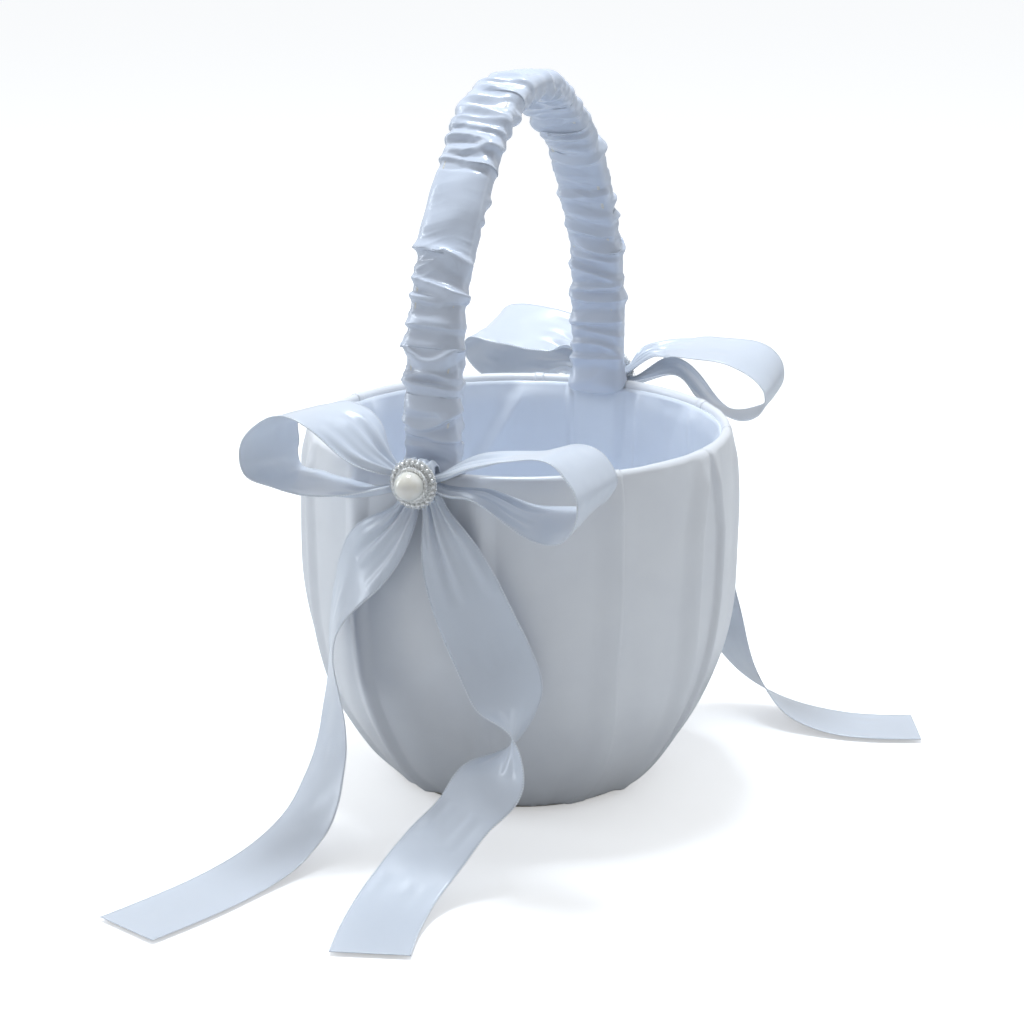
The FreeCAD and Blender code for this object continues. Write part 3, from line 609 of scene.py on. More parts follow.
BACK_LOOP_LEFT = (
    (-9.0, 79.4, 129.2, 6, OUTWARD_BACK), (-12.2, 82.6, 133.6, 12, (-0.1, 0.93, 0.32)),
    (-17.2, 86.0, 136.0, 19, (-0.08, 0.91, 0.4)), (-23.4, 88.0, 137.6, 24, (-0.03, 0.9, 0.43)),
    (-30.4, 88.0, 138.8, 25, (0.0, 0.9, 0.43)), (-37.6, 88.0, 139.6, 25, (0.0, 0.9, 0.43)),
    (-44.6, 88.0, 139.8, 25, (0.02, 0.91, 0.41)), (-51.0, 88.0, 138.6, 25, (0.1, 0.94, 0.32)),
    (-55.4, 88.0, 135.0, 25, (0.16, 0.97, 0.16)), (-56.2, 88.0, 130.6, 25, (0.06, 0.99, 0.06)),
    (-53.2, 88.0, 127.4, 25, (-0.06, 0.97, 0.22)), (-47.4, 88.0, 126.0, 25, (-0.04, 0.91, 0.4)),
    (-39.6, 88.0, 125.8, 25, (0.0, 0.88, 0.47)), (-31.0, 87.6, 126.2, 24, (0.02, 0.88, 0.47)),
    (-22.4, 86.0, 127.0, 18, (-0.04, 0.89, 0.45)), (-14.6, 82.8, 127.0, 12, (-0.14, 0.94, 0.29)),
    (-9.0, 79.2, 124.6, 6, OUTWARD_BACK),
)
FRONT_TAIL_LEFT = (
    (-4.8, -79.5, 117.0, 8, -4), (-7.6, -80.8, 111.5, 13, -10), (-14.5, -80.8, 103.2, 20, -18),
    (-23, -78.8, 94.0, 25, -30), (-30, -77.0, 84.0, 25, -45), (-34, -76.6, 72.5, 25, -58),
    (-34.2, -77.8, 60.5, 25, -60), (-32.6, -80.4, 47.5, 25, -52), (-31.6, -84.4, 34.0, 25, -44),
    (-31.4, -91.8, 20.8, 25, -38), (-32.6, -102.6, 10.2, 25, -33), (-35.8, -116.0, 4.0, 25, -28),
    (-39.5, -131.0, 1.4, 25, -25), (-45, -155.0, 1.0, 25, -23), (-53.3, -181.0, 1.0, 25, -22),
)
FRONT_TAIL_RIGHT = (
    (4.8, -79.5, 117.2, 8, (1, 0, 0.05)), (8.0, -81, 109.5, 15, (1, 0, 0.2)),
    (12.0, -80.4, 98.5, 22, (0.95, 0.1, 0.35)), (17.0, -79.6, 86.5, 25, (0.9, 0.15, 0.35)),
    (22.5, -78.8, 74.5, 25, (0.85, 0.3, 0.35)), (28.0, -78.4, 63.0, 25, (0.7, 0.6, 0.3)),
    (32.0, -79.0, 52.5, 25, (0.35, 0.95, 0.2)), (33.8, -82.4, 43.0, 25, (-0.25, 1.0, 0.3)),
    (31.6, -90.0, 33.5, 25, (-0.75, 0.65, 0.35)), (26.5, -100.5, 24.0, 25, (-0.9, 0.35, 0.15)),
    (20.8, -112.0, 15.0, 25, (-0.95, 0.1, 0.05)), (17.4, -124.5, 7.6, 25, (-1.0, -0.05, 0.0)),
    (17.2, -138.0, 3.2, 25, (-0.97, -0.2, 0.0)), (19.6, -151.5, 1.4, 25, (-0.95, -0.3, 0.0)),
    (24.0, -166.0, 1.0, 25, (-0.9, -0.42, 0.0)),
)
BACK_TAIL_RIGHT = (
    (4.8, 80.0, 117.2, 8, (1, 0, 0.0)), (9.5, 81.5, 109.5, 15, (1, 0, 0.25)),
    (16, 82.0, 98.0, 22, (0.95, -0.1, 0.35)), (23, 82.2, 85.0, 25, (0.92, -0.15, 0.4)),
    (30, 82.8, 71.0, 25, (0.9, -0.2, 0.45)), (36.0, 83.4, 57.0, 25, (0.86, -0.24, 0.48)),
    (41.4, 83.8, 43.5, 25, (0.8, -0.34, 0.5)), (47.0, 84.0, 31.0, 25, (0.72, -0.52, 0.48)),
    (54.0, 84.0, 19.6, 25, (0.58, -0.73, 0.38)), (63.0, 84.0, 10.8, 25, (0.4, -0.87, 0.27)),
    (73.0, 83.4, 5.2, 25, (0.32, -0.94, 0.1)), (84.0, 83.0, 2.4, 25, (0.3, -0.95, 0.03)),
    (95.5, 83.4, 1.3, 25, (0.33, -0.94, 0.0)), (107.5, 86.2, 1.2, 25, (0.38, -0.92, 0.0)),
    (119.6, 91.4, 1.2, 25, (0.41, -0.91, 0.0)),
)
BACK_TAIL_LEFT = (
    (-4.8, 80.0, 117.2, 8, 4), (-10, 81.8, 109.5, 15, 12), (-16.5, 82.2, 98.0, 22, 16),
    (-22.5, 82.0, 85.0, 25, 20), (-27, 82.0, 71.0, 25, 22), (-30, 82.6, 57.0, 25, 22),
    (-31.5, 84.6, 43.5, 25, 20), (-31.6, 89.4, 30.5, 25, 16), (-31, 98.0, 18.6, 25, 12),
    (-30, 109.5, 9.2, 25, 8), (-28.6, 122.5, 4.0, 25, 6), (-27, 137.0, 1.5, 25, 5),
    (-25, 161.0, 1.0, 25, 4),
)


def loop_stations(route, side):
    """Stations of a loop, with both gathered roots run on into the knot."""
    stations = [((x, y, z), across, width) for x, y, z, width, across in route]
    roots = []
    for (x, y, z), across, width in (stations[0], stations[-1]):
        inside = (math.copysign(4.0, x), side * KNOT_Y, KNOT_Z + (z - KNOT_Z) * 0.5)
        roots.append((inside, across, width * 0.8))
    return [roots[0]] + stations + [roots[1]]


def tail_stations(route, side):
    """Stations of a tail, with a short gathered root added inside the knot."""
    stations = []
    for x, y, z, width, across in route:
        if not isinstance(across, tuple):
            across = heading(across)
        stations.append(((x, y, z), across, width))
    (x, y, z), across, width = stations[0]
    root = ((x * 0.75, side * KNOT_Y, KNOT_Z - 4.5), across, width * 0.8)
    return [root] + stations


def build_ribbons():
    """The four loops of the bows, then the four tails."""
    loops = (
        ("front_bow_loop_left", FRONT_LOOP_LEFT, -1, 3), ("front_bow_loop_right", FRONT_LOOP_RIGHT, -1, 8),
        ("back_bow_loop_right", BACK_LOOP_RIGHT, 1, 11), ("back_bow_loop_left", BACK_LOOP_LEFT, 1, 17),
    )
    for name, route, side, seed in loops:
        ribbon_piece(name, loop_stations(route, side), seed=seed)
    tails = (
        ("front_tail_left", FRONT_TAIL_LEFT, -1, "front_left_ribbon", 5),
        ("front_tail_right", FRONT_TAIL_RIGHT, -1, "front_right_ribbon", 6),
        ("back_tail_right", BACK_TAIL_RIGHT, 1, "back_right_ribbon", 7),
        ("back_tail_left", BACK_TAIL_LEFT, 1, "back_left_ribbon", 9),
    )
    for name, route, side, body, seed in tails:
        ribbon_piece(name, tail_stations(route, side), tail_body=body,
                     seed=seed)


# ---------------------------------------------------------------- cover, lining and base

PLEATS = (
    # kind, degrees round at the rim, at 60 mm up and at the base
    ("knife", -39.3, -39.9, -36.0), ("open", -7.0, -8.5, -9.0), ("knife", 22.0, 20.5, 21.0),
    ("knife", 50.0, 51.0, 52.0), ("open", 81.0, 80.0, 79.0), ("knife", 110.0, 111.0, 109.0),
    ("knife", 139.0, 140.0, 141.0), ("knife", 171.0, 170.0, 169.0), ("open", 200.0, 199.0, 198.0),
    ("soft", 221.0, 220.5, 221.0), ("soft", 248.0, 247.5, 246.0), ("soft", 284.0, 285.0, 286.0),
)
PLEAT_HEIGHT = 2.0
# Height, and width of the open pleats there.
OPEN_MOUTHS = ((0, 2.4), (20, 4.0), (46, 9.0), (76, 13.0), (98, 12.5), (110, 7.5), (118, 4.0), (125, 2.2))


def knife_fold(depth, height):
    """Section of a knife pleat: the top layer ends in a crease at 0 and the cloth runs back under it."""
    a = [-(depth + 7), -(depth + 5), -(depth + 3), -(depth + 1), -depth * 0.75, -depth * 0.4, -0.9, -0.15,
         0.22, 0.26, 0.02, -depth * 0.3, -depth * 0.75, -depth, -depth - 0.18, -depth, -depth * 0.6,
         -1.0, 0.6, 2.6, 6.5]
    h = [0, 0.08, 0.32, 0.66, 0.84, 0.95, 1.0, 1.0, 0.93, 0.82, 0.74, 0.68, 0.62, 0.57, 0.5, 0.44, 0.46,
         0.48, 0.4, 0.16, 0]
    return np.array(a), np.array(h) * height


def soft_fold(height):
    """Section of a pleat that is only pressed softly: a slow rise and a quicker fall."""
    a = np.linspace(-8.0, 5.0, 20)
    return a, height * smoothstep(-8.0, -0.5, a) * (1 - smoothstep(-0.5, 5.0, a))


def open_fold(height, mouth):
    """Section of an open pleat: two rounded edges that face each other across a sunken strip."""
    left_a = np.array([-9, -7.5, -6, -4.5, -3, -1.6, -0.8, -0.3, 0, 0.25, 0.5, 0.9]) - mouth / 2
    left_h = np.array([0, 0.08, 0.28, 0.55, 0.80, 0.95, 1.0, 0.97, 0.85, 0.55, 0.25, 0.08])
    strip_a = np.linspace(-0.5, 0.5, 7)[1:-1] * (mouth - 1.4)
    strip_h = np.array([0.03, 0.0, 0.0, 0.02, 0.05])
    right_a = np.array([-0.7, -0.4, -0.1, 0.2, 0.6, 1.2, 2.2, 3.6, 5.2, 7]) + mouth / 2
    right_h = np.array([0.1, 0.28, 0.52, 0.75, 0.92, 1.0, 0.9, 0.6, 0.2, 0])
    return np.concatenate([left_a, strip_a, right_a]), np.concatenate([left_h, strip_h, right_h]) * height


def pleat_section(kind, height):
    """Offsets along and above the wall of one pleat's columns at a height."""
    low = np.clip(1 - height / BELLY_HEIGHT, 0, 1)
    depth = 3.2 + 2.2 * low ** 2
    near_rim = 0.25 + 0.75 * smoothstep(RIM_HEIGHT, 114, height)
    rise = PLEAT_HEIGHT * near_rim * (1 - 0.3 * low) * smoothstep(-8, 14, height)
    if kind == "knife":
        return knife_fold(depth, rise)
    if kind == "soft":
        return soft_fold(rise * 1.2)
    heights, mouths = zip(*OPEN_MOUTHS)
    return open_fold(rise * 1.3, np.interp(height, heights, mouths))


def pleated_columns(height, radius):
    """Angles and rises of every column of the pleated wall at one height."""
    sections = []
    for kind, rim, half_way, base in PLEATS:
        a, h = pleat_section(kind, height)
        middle = np.interp(height, (0, 60, RIM_HEIGHT), (base, half_way, rim))
        sections.append((math.radians(middle) + a / radius, h))
    angles = []
    rises = []
    for i, (angle, rise) in enumerate(sections):
        following = sections[(i + 1) % len(sections)][0][0]
        if i == len(sections) - 1:
            following += 2 * math.pi
        between = np.linspace(angle[-1], following, PLAIN_COLUMNS + 2)[1:-1]
        angles.extend([angle, between])
        rises.extend([rise, np.zeros(PLAIN_COLUMNS)])
    return np.concatenate(angles), np.concatenate(rises)


def cover_profile():
    """Rows of the cover: radius, height, outward direction, pleat height share and wall height."""
    rows = []
    for radius in (33.0, 35.5, 38.0, 40.2):
        rows.append((radius, HEM_LEVEL, (0.0, -1.0), 0.05, 1.5))
    heights = np.concatenate([np.linspace(1.6, 12, 10), np.linspace(14, RIM_HEIGHT - RIM_ROLL, 76)])
    radii, levels, out = wall_rows(heights, COVER_DEPTH)
    for radius, level, direction, height in zip(radii, levels, out, heights):
        rows.append((radius, max(level, 1.0), direction, 1.0, height))
    top_radius = float(radii[-1]) - RIM_ROLL + COVER_DEPTH
    roll_height = RIM_HEIGHT - RIM_ROLL
    size = RIM_ROLL - COVER_DEPTH
    for angle in np.linspace(0, math.pi, 12)[1:]:
        direction = (math.cos(angle), math.sin(angle))
        fade = 1.0 - 0.9 * math.sin(angle)
        rows.append((top_radius + size * direction[0], roll_height + size * direction[1], direction,
                     fade if angle < 1.6 else 0.1, RIM_HEIGHT))
    for drop in (1.2, 2.6, 4.2):
        rows.append((top_radius - RIM_ROLL + COVER_DEPTH, roll_height - drop, (-1.0, 0.0), 0.05, RIM_HEIGHT))
    return rows


def build_cover():
    """Pleated satin from under the base, up the wall and over the rim."""
    points = []
    cloth = []
    run = 0.0
    before = None
    for radius, level, direction, share, height in cover_profile():
        angles, rises = pleated_columns(height, max(radius, PLEATED_FROM))
        round_trip = level_circle(angles)
        base = raised(round_trip, radius, level)
        sway = drift(base, 46.0, 21) * 0.32 + drift(base * np.array([1, 1, 0.22]), 15.0, 22) * 0.16
        pucker = drift(raised(round_trip, 60, level * 0.5), 6.5, 23) * 0.28
        pucker = pucker * smoothstep(16, 2, level)
        pucker = pucker + drift(base, 8.0, 24) * 0.14 * smoothstep(119, RIM_HEIGHT, level)
        lift = rises * share + (sway + pucker) * min(1.0, share + 0.2) + 0.3
        push = raised(round_trip, direction[0], direction[1])
        row = base + push * lift[:, None]
        row[:, 2] = np.maximum(row[:, 2], 0.4 if radius > 41.5 else 1.25)
        if before is not None:
            run += float(np.linalg.norm(row - before, axis=1).mean())
        before = row
        points.append(row)
        cloth.append(np.stack([0 * angles + run, angles * BELLY_RADIUS], -1))
    points = np.array(points)
    cover = grid_object("outer_cover_satin", points, np.array(cloth), around=True)
    cover = thicken(cover, GATHERED_CLOTH, -1.0)
    finish_piece(cover, "root", SATIN_COVER, ["outer_cover"])
    return cover


LINING_FOLDS = (
    # degrees and height at the top, degrees and height at the bottom, rise, half width in mm
    (98.4, 127, 96.3, 40, 1.5, 1.4), (74.6, 127, 78.0, 55, 0.9, 1.2), (113.0, 121, 134.0, 78, 2.1, 3.4),
    (88.0, 127, 86.0, 30, 0.5, 2.5), (120.0, 127, 118.0, 100, 0.6, 2.0), (142.0, 127, 147.0, 45, 1.0, 1.8),
    (166.0, 127, 163.0, 30, 1.3, 1.5), (196.0, 127, 198.0, 40, 0.9, 2.2), (222.0, 127, 219.0, 35, 1.3, 1.6),
    (248.0, 127, 252.0, 60, 0.8, 2.4), (277.0, 127, 276.0, 30, 1.2, 1.5), (305.0, 127, 309.0, 50, 0.9, 2.0),
    (331.0, 127, 328.0, 30, 1.4, 1.6), (357.0, 127, 355.0, 45, 0.9, 2.2), (24.0, 127, 27.0, 35, 1.2, 1.7),
    (50.0, 127, 47.0, 60, 1.0, 2.4),
)


def lining_rise(angles, height, radius):
    """How far the lining's folds stand in from the wall."""
    total = np.zeros_like(angles)
    for top_turn, top, low_turn, low, rise, half in LINING_FOLDS:
        middle = math.radians(np.interp(height, (low, top), (low_turn, top_turn)))
        apart = (angles - middle + math.pi) % (2 * math.pi) - math.pi
        apart = apart * radius
        sharp = np.where(apart > 0, np.exp(-(apart / half) ** 2), np.exp(-np.abs(apart) / (half * 3.2)))
        fade = smoothstep(low - 14, low + 12, height) * smoothstep(top + 8, top - 2, height)
        total += rise * sharp * fade
    return total


def handle_end_bulge(angles, height):
    """The lining stands over the handle's ends and their staples."""
    total = np.zeros_like(angles)
    for turn in (math.pi / 2, -math.pi / 2):
        apart = np.abs((angles - turn + math.pi) % (2 * math.pi) - math.pi) * LINING_RADIUS
        total += HANDLE_END_RISE * smoothstep(12.0, 7.0, apart) * smoothstep(91, 99, height)
    return total


def build_lining():
    """Satin inside the shell, softly folded, from the rim down and across the floor."""
    columns = 620
    angles = np.linspace(0, 2 * math.pi, columns, endpoint=False)
    round_trip = level_circle(angles)
    heights = np.concatenate([np.linspace(124.6, 14, 88), np.linspace(13, 6.2, 8)])
    radii, levels, out = wall_rows(heights, LINING_DEPTH)
    radii = radii + 0.7 * smoothstep(117, 123, heights)
    rows = [raised(round_trip, radii[0] + 0.4, 123.2), raised(round_trip, radii[0] + 0.3, 124.3)]
    for radius, level, direction, height in zip(radii, levels, out, heights):
        base = raised(round_trip, radius, level)
        sway = drift(base, 30.0, 31) * 0.35 + drift(base * np.array([1, 1, 0.35]), 12.0, 32) * 0.18 + 0.35
        edge = smoothstep(124.8, 121.0, height)
        lift = (lining_rise(angles, height, radius) + sway) * (0.25 + 0.75 * edge)
        lift = np.maximum(lift, handle_end_bulge(angles, height) + 0.3 * sway)
        push = raised(round_trip, direction[0], direction[1])
        rows.append(base - push * np.maximum(lift, 0.05)[:, None])
    floor_radius = float(radii[-1])
    for share in (0.93, 0.86, 0.8):
        flat = raised(round_trip, floor_radius * share, LINING_FLOOR + 0.25)
        flat[:, 2] += 0.25 * (1 + drift(flat, 9.0, 33)) * (share - 0.78) / 0.15
        rows.append(flat)
    points = np.array(rows)
    run = np.concatenate([[0], np.cumsum(np.linalg.norm(np.diff(points, axis=0), axis=2).mean(axis=1))])
    cloth = np.stack([run[:, None] + 0 * angles[None, :], 0 * run[:, None] + angles[None, :] * 69.0], -1)
    lining = grid_object("inner_lining_satin", points, cloth, around=True)
    lining = thicken(lining, CLOTH, 1.0)
    finish_piece(lining, "root", SATIN_LINING, ["inner_lining"])
    return lining


def build_board():
    """Card disc wrapped in satin that lies on the bottom, with small tucks at its edge."""
    columns = 240
    angles = np.linspace(0, 2 * math.pi, columns, endpoint=False)
    round_trip = level_circle(angles)
    tucks = 0.5 + 0.5 * np.sin(angles * 34 + 1.3 * np.sin(angles * 5))
    profile = [(0.6, -0.25), (0.75, -0.2), (0.88, -0.1), (0.96, 0.0), (0.995, 0.35), (1.0, 0.9),
               (0.99, 1.5), (0.965, 1.85), (0.93, 2.0), (0.86, 2.1), (0.76, 2.2), (0.64, 2.3),
               (0.5, 2.38), (0.36, 2.45), (0.22, 2.5), (0.1, 2.5), (0.02, 2.5)]
    rows = []
    for share, level in profile:
        edge = smoothstep(0.6, 0.98, share)
        radius = BOARD_RADIUS * share - 0.35 * tucks * edge
        row = raised(round_trip, np.reshape(radius, (-1, 1)), BOARD_TOP - BOARD_EDGE + level)
        row[:, 2] += drift(row, 16.0, 41) * 0.1 * min(1.0, level + 0.3) - 0.12 * tucks * edge * (level > 1)
        rows.append(row)
    points = np.array(rows)
    cloth = points[..., :2].copy()
    board = grid_object("inner_base_board_satin", points, cloth, around=True)
    finish_piece(board, "root", SATIN_LINING, ["inner_base_board"])
    return board


# ---------------------------------------------------------------- handle sleeve

def side_arc(side):
    """Centre, radius and turn of the arc between the handle's foot and its top arc."""
    reach = HANDLE_HALF_SPAN - side * APEX_SHIFT
    rise = APEX_HEIGHT - TOP_RADIUS - STRAIGHT_TOP
    radius = (reach ** 2 + rise ** 2 - TOP_RADIUS ** 2) / (2 * (reach - TOP_RADIUS))
    center = side * (HANDLE_HALF_SPAN - radius)
    turn = math.atan2(rise, side * (APEX_SHIFT - center))
    return center, radius, turn


def arch_at(places, foot):
    """Middle and outward direction in the YZ plane at lengths along the handle from its front foot."""
    front_center, front_radius, front_turn = side_arc(-1)
    back_center, back_radius, back_turn = side_arc(1)
    straight = STRAIGHT_TOP - foot
    top_turn = math.pi - front_turn - back_turn
    lengths = np.cumsum([straight, front_radius * front_turn, TOP_RADIUS * top_turn, back_radius * back_turn])
    middles = []
    outs = []
    for s in places:
        if s < lengths[0]:
            middles.append((-HANDLE_HALF_SPAN, foot + s))
            outs.append((-1.0, 0.0))
            continue
        if s < lengths[1]:
            angle = math.pi - (s - lengths[0]) / front_radius
            center, radius = (front_center, STRAIGHT_TOP), front_radius
        elif s < lengths[2]:
            angle = math.pi - front_turn - (s - lengths[1]) / TOP_RADIUS
            center, radius = (APEX_SHIFT, APEX_HEIGHT - TOP_RADIUS), TOP_RADIUS
        elif s < lengths[3]:
            angle = back_turn - (s - lengths[2]) / back_radius
            center, radius = (back_center, STRAIGHT_TOP), back_radius
        else:
            middles.append((HANDLE_HALF_SPAN, STRAIGHT_TOP - (s - lengths[3])))
            outs.append((1.0, 0.0))
            continue
        out = (math.cos(angle), math.sin(angle))
        middles.append((center[0] + radius * out[0], center[1] + radius * out[1]))
        outs.append(out)
    return np.array(middles), np.array(outs), lengths[3] + straight


SLEEVE_FOOT = 127.3
OUTER_FOLDS = (
    # length along the handle, tilt, bend, rise, half width, middle across, reach across
    (8.5, 0.0, 0.010, 0.7, 1.5, 0, 11), (12.2, -0.055, 0.0, 1.0, 1.0, 0, 12),
    (15.6, 0.24, 0.035, 1.3, 1.2, 0, 12), (21.5, 0.02, -0.01, 0.9, 1.6, 1, 10),
    (28.1, -0.07, 0.0, 1.1, 0.9, -2, 12), (32.0, 0.0, -0.012, 1.0, 0.8, 0, 9),
    (35.6, 0.0, 0.050, 1.5, 1.5, 0, 13), (41.5, 0.05, 0.020, 0.8, 1.6, -2, 8),
    (47.2, -0.03, 0.0, 0.9, 1.0, 0, 12), (49.0, -0.02, 0.0, 0.6, 0.8, 2, 8),
    (55.3, 0.0, 0.01, 1.0, 1.1, 0, 12), (59.1, -0.26, 0.0, 1.2, 1.0, 0, 13),
    (66.4, 0.02, 0.0, 0.8, 1.7, 0, 12), (70.3, -0.25, -0.01, 1.3, 1.3, -3, 12),
    (80.5, 0.35, 0.0, 0.45, 3.0, -3, 8), (87.5, -0.3, 0.0, 0.35, 3.2, 4, 8),
    (93.0, 0.2, 0.0, 0.3, 2.6, -2, 8), (101.0, -0.1, 0.0, 0.8, 0.7, 0, 12),
    (105.2, 0.15, 0.02, 0.9, 1.2, 2, 10), (110.6, -0.12, -0.02, 1.0, 1.1, 0, 11),
    (114.2, -0.05, 0.0, 0.8, 0.8, 0, 12), (117.0, 0.06, 0.0, 0.8, 0.8, 1, 11),
    (120.2, -0.1, 0.0, 0.9, 0.9, 0, 12), (126.0, 0.28, 0.0, 0.8, 1.1, -1, 9),
    (131.5, -0.22, 0.01, 0.9, 1.2, 2, 10), (137.5, 0.12, 0.0, 0.8, 1.0, 0, 10),
    (143.0, -0.3, 0.0, 0.9, 1.3, -2, 10), (149.5, 0.18, 0.0, 0.7, 1.1, 1, 9),
    (155.0, 0.35, 0.0, 0.9, 1.0, 3, 10), (159.5, 0.42, 0.0, 0.8, 0.9, 2, 10),
    (164.0, 0.46, 0.0, 0.9, 0.9, 1, 11), (168.6, 0.44, 0.0, 0.9, 1.0, 2, 11),
    (173.5, 0.38, 0.0, 0.8, 0.9, 0, 10), (179.0, 0.30, 0.0, 0.9, 1.1, 2, 10),
    (185.5, 0.22, 0.0, 0.8, 1.0, 0, 11),
)
INNER_FOLDS = (
    (189.5, 0.05, 0.0, 0.9, 1.0, 1, 11), (194.6, -0.08, 0.01, 0.8, 0.9, 0, 11),
    (201.0, 0.12, 0.0, 0.7, 1.4, 2, 9), (207.8, -0.05, 0.0, 0.9, 1.3, 0, 12),
    (216.0, 0.2, 0.0, 0.6, 1.8, -2, 9), (225.8, -0.1, 0.0, 0.9, 1.2, 0, 12),
    (234.0, 0.15, 0.0, 0.6, 1.6, 2, 9), (241.0, 0.2, 0.01, 0.7, 1.2, -1, 10),
    (247.5, 0.22, 0.0, 1.3, 1.2, 5, 9), (253.0, 0.1, 0.0, 0.7, 1.0, 0, 11),
    (259.0, 0.28, 0.0, 1.1, 1.1, 0, 12), (264.7, -0.1, 0.0, 0.9, 0.9, 0, 12),
    (269.2, 0.04, -0.01, 0.9, 0.9, 0, 12), (277.2, -0.06, 0.0, 1.0, 1.1, 0, 12),
    (282.0, 0.1, 0.0, 0.7, 0.9, 2, 9), (286.4, 0.05, 0.02, 0.9, 1.0, 0, 12),
    (292.0, -0.06, 0.0, 1.0, 1.0, 0, 12), (297.0, 0.0, 0.02, 0.8, 1.3, 0, 12),
)


def random_folds(count, low, high, seed):
    """Small gathers for the faces of the handle that have no fold list of their own."""
    draw = np.random.default_rng(seed)
    places = np.linspace(low, high, count) + draw.uniform(-1.6, 1.6, count)
    return [(s, draw.uniform(-0.3, 0.3), draw.uniform(-0.02, 0.03), draw.uniform(0.5, 1.1),
             draw.uniform(0.8, 1.5), draw.uniform(-4, 4), draw.uniform(6, 12)) for s in places]


def fold_rise(places, x, folds):
    """Height of a set of folds at lengths along and places across the handle."""
    total = np.zeros(np.broadcast(places, x).shape)
    for s, tilt, bend, rise, half, middle, reach in folds:
        half = half * 1.5
        rise = rise * 1.5
        apart = places - s - tilt * x - bend * x * x
        ridge = np.exp(-np.abs(apart / half) ** 1.7)
        ridge = ridge - 0.55 * np.exp(-((apart + 2.0 * half) / (1.1 * half)) ** 2)
        total = total + rise * ridge * np.exp(-((x - middle) / reach) ** 4)
    return total


def sleeve_section(columns):
    """Rounded oblong section: places across and out, evenly spaced round it."""
    turn = np.linspace(0, 2 * math.pi, 721)[:-1] - 0.75 * math.pi
    power = 2 / SLEEVE_SQUARENESS
    x = SLEEVE_HALF_WIDTH * np.sign(np.cos(turn)) * np.abs(np.cos(turn)) ** power
    n = SLEEVE_HALF_DEPTH * np.sign(np.sin(turn)) * np.abs(np.sin(turn)) ** power
    closed_x, closed_n = np.append(x, x[0]), np.append(n, n[0])
    run = np.concatenate([[0], np.cumsum(np.hypot(np.diff(closed_x), np.diff(closed_n)))])
    even = np.linspace(0, run[-1], columns + 1)[:-1]
    return np.interp(even, run, closed_x), np.interp(even, run, closed_n), even


def build_sleeve():
    """Gathered satin tube over the padded handle, tucked in at the rim at both ends."""
    columns = 96
    x, n, around = sleeve_section(columns)
    total = arch_at([0.0], SLEEVE_FOOT)[2]
    places = np.linspace(0, total, int(total / SLEEVE_ROW_STEP))
    middles, outs, _ = arch_at(places, SLEEVE_FOOT)
    x = x[None, :]
    n = n[None, :]
    s = places[:, None]
    section_slope = np.stack([
        np.sign(x) * np.abs(x / SLEEVE_HALF_WIDTH) ** (SLEEVE_SQUARENESS - 1) / SLEEVE_HALF_WIDTH,
        np.sign(n) * np.abs(n / SLEEVE_HALF_DEPTH) ** (SLEEVE_SQUARENESS - 1) / SLEEVE_HALF_DEPTH,
    ], -1)
    section_out = unit(section_slope)
    outer = smoothstep(-0.55, 0.35, n / SLEEVE_HALF_DEPTH)
    inner = 1 - outer
    outer_rise = fold_rise(s, x, OUTER_FOLDS + tuple(random_folds(26, low=190, high=298, seed=61)))
    inner_rise = fold_rise(s, x, tuple(random_folds(40, low=4, high=186, seed=62)) + INNER_FOLDS)
    body = np.stack([0 * s + x, n + 0 * s, 0.5 * s + 0 * x], -1)
    warp = drift(body, 16.0, 63) * 3.0
    creases = 0.5 + 0.5 * np.sin((s + warp) * 2 * math.pi / 3.4)
    calm = 1 - 0.85 * smoothstep(73, 78, s) * smoothstep(101, 96, s) * outer
    small = (creases ** 3 - 0.35) * 0.22 * (0.55 + 0.45 * drift(body, 11.0, 64)) * calm
    puff = drift(body, 20.0, 65) * 0.45
    rise = outer * outer_rise + inner * inner_rise + small + puff
    end = np.minimum(s, total - s)
    flare = 1.1 * np.exp(-end / 3.0)
    rise = np.maximum(rise, -0.9) * smoothstep(-1.5, 4.0, end) + flare - 0.1
    side_x = x + section_out[..., 0] * rise
    side_n = n + section_out[..., 1] * rise
    lean = 0.45 * rise * np.sign(np.sin(s * 0.21 + 1.0))
    points = np.empty(rise.shape + (3,))
    points[..., 0] = side_x
    points[..., 1] = middles[:, 0][:, None] + outs[:, 0][:, None] * side_n
    points[..., 2] = middles[:, 1][:, None] + outs[:, 1][:, None] * side_n
    along = unit(np.gradient(middles, axis=0))
    points[..., 1] += along[:, 0][:, None] * lean
    points[..., 2] += along[:, 1][:, None] * lean
    near = smoothstep(7.0, 0.0, end)
    inside = smoothstep(0.4, -0.9, n / SLEEVE_HALF_DEPTH)
    points[..., 2] -= 4.5 * near * inside * (1 - 0.35 * np.abs(x / SLEEVE_HALF_WIDTH) ** 2)
    cloth = np.stack([s + 0 * x, around[None, :] + 0 * s], -1)
    sleeve = grid_object("handle_sleeve_satin", points, cloth, around=True, flip=True)
    sleeve = thicken(sleeve, GATHERED_CLOTH, -1.0)
    finish_piece(sleeve, "root", SATIN_SLEEVE_PAINTED_SHADE, ["handle_sleeve"])
    return sleeve


# ---------------------------------------------------------------- knot and brooch

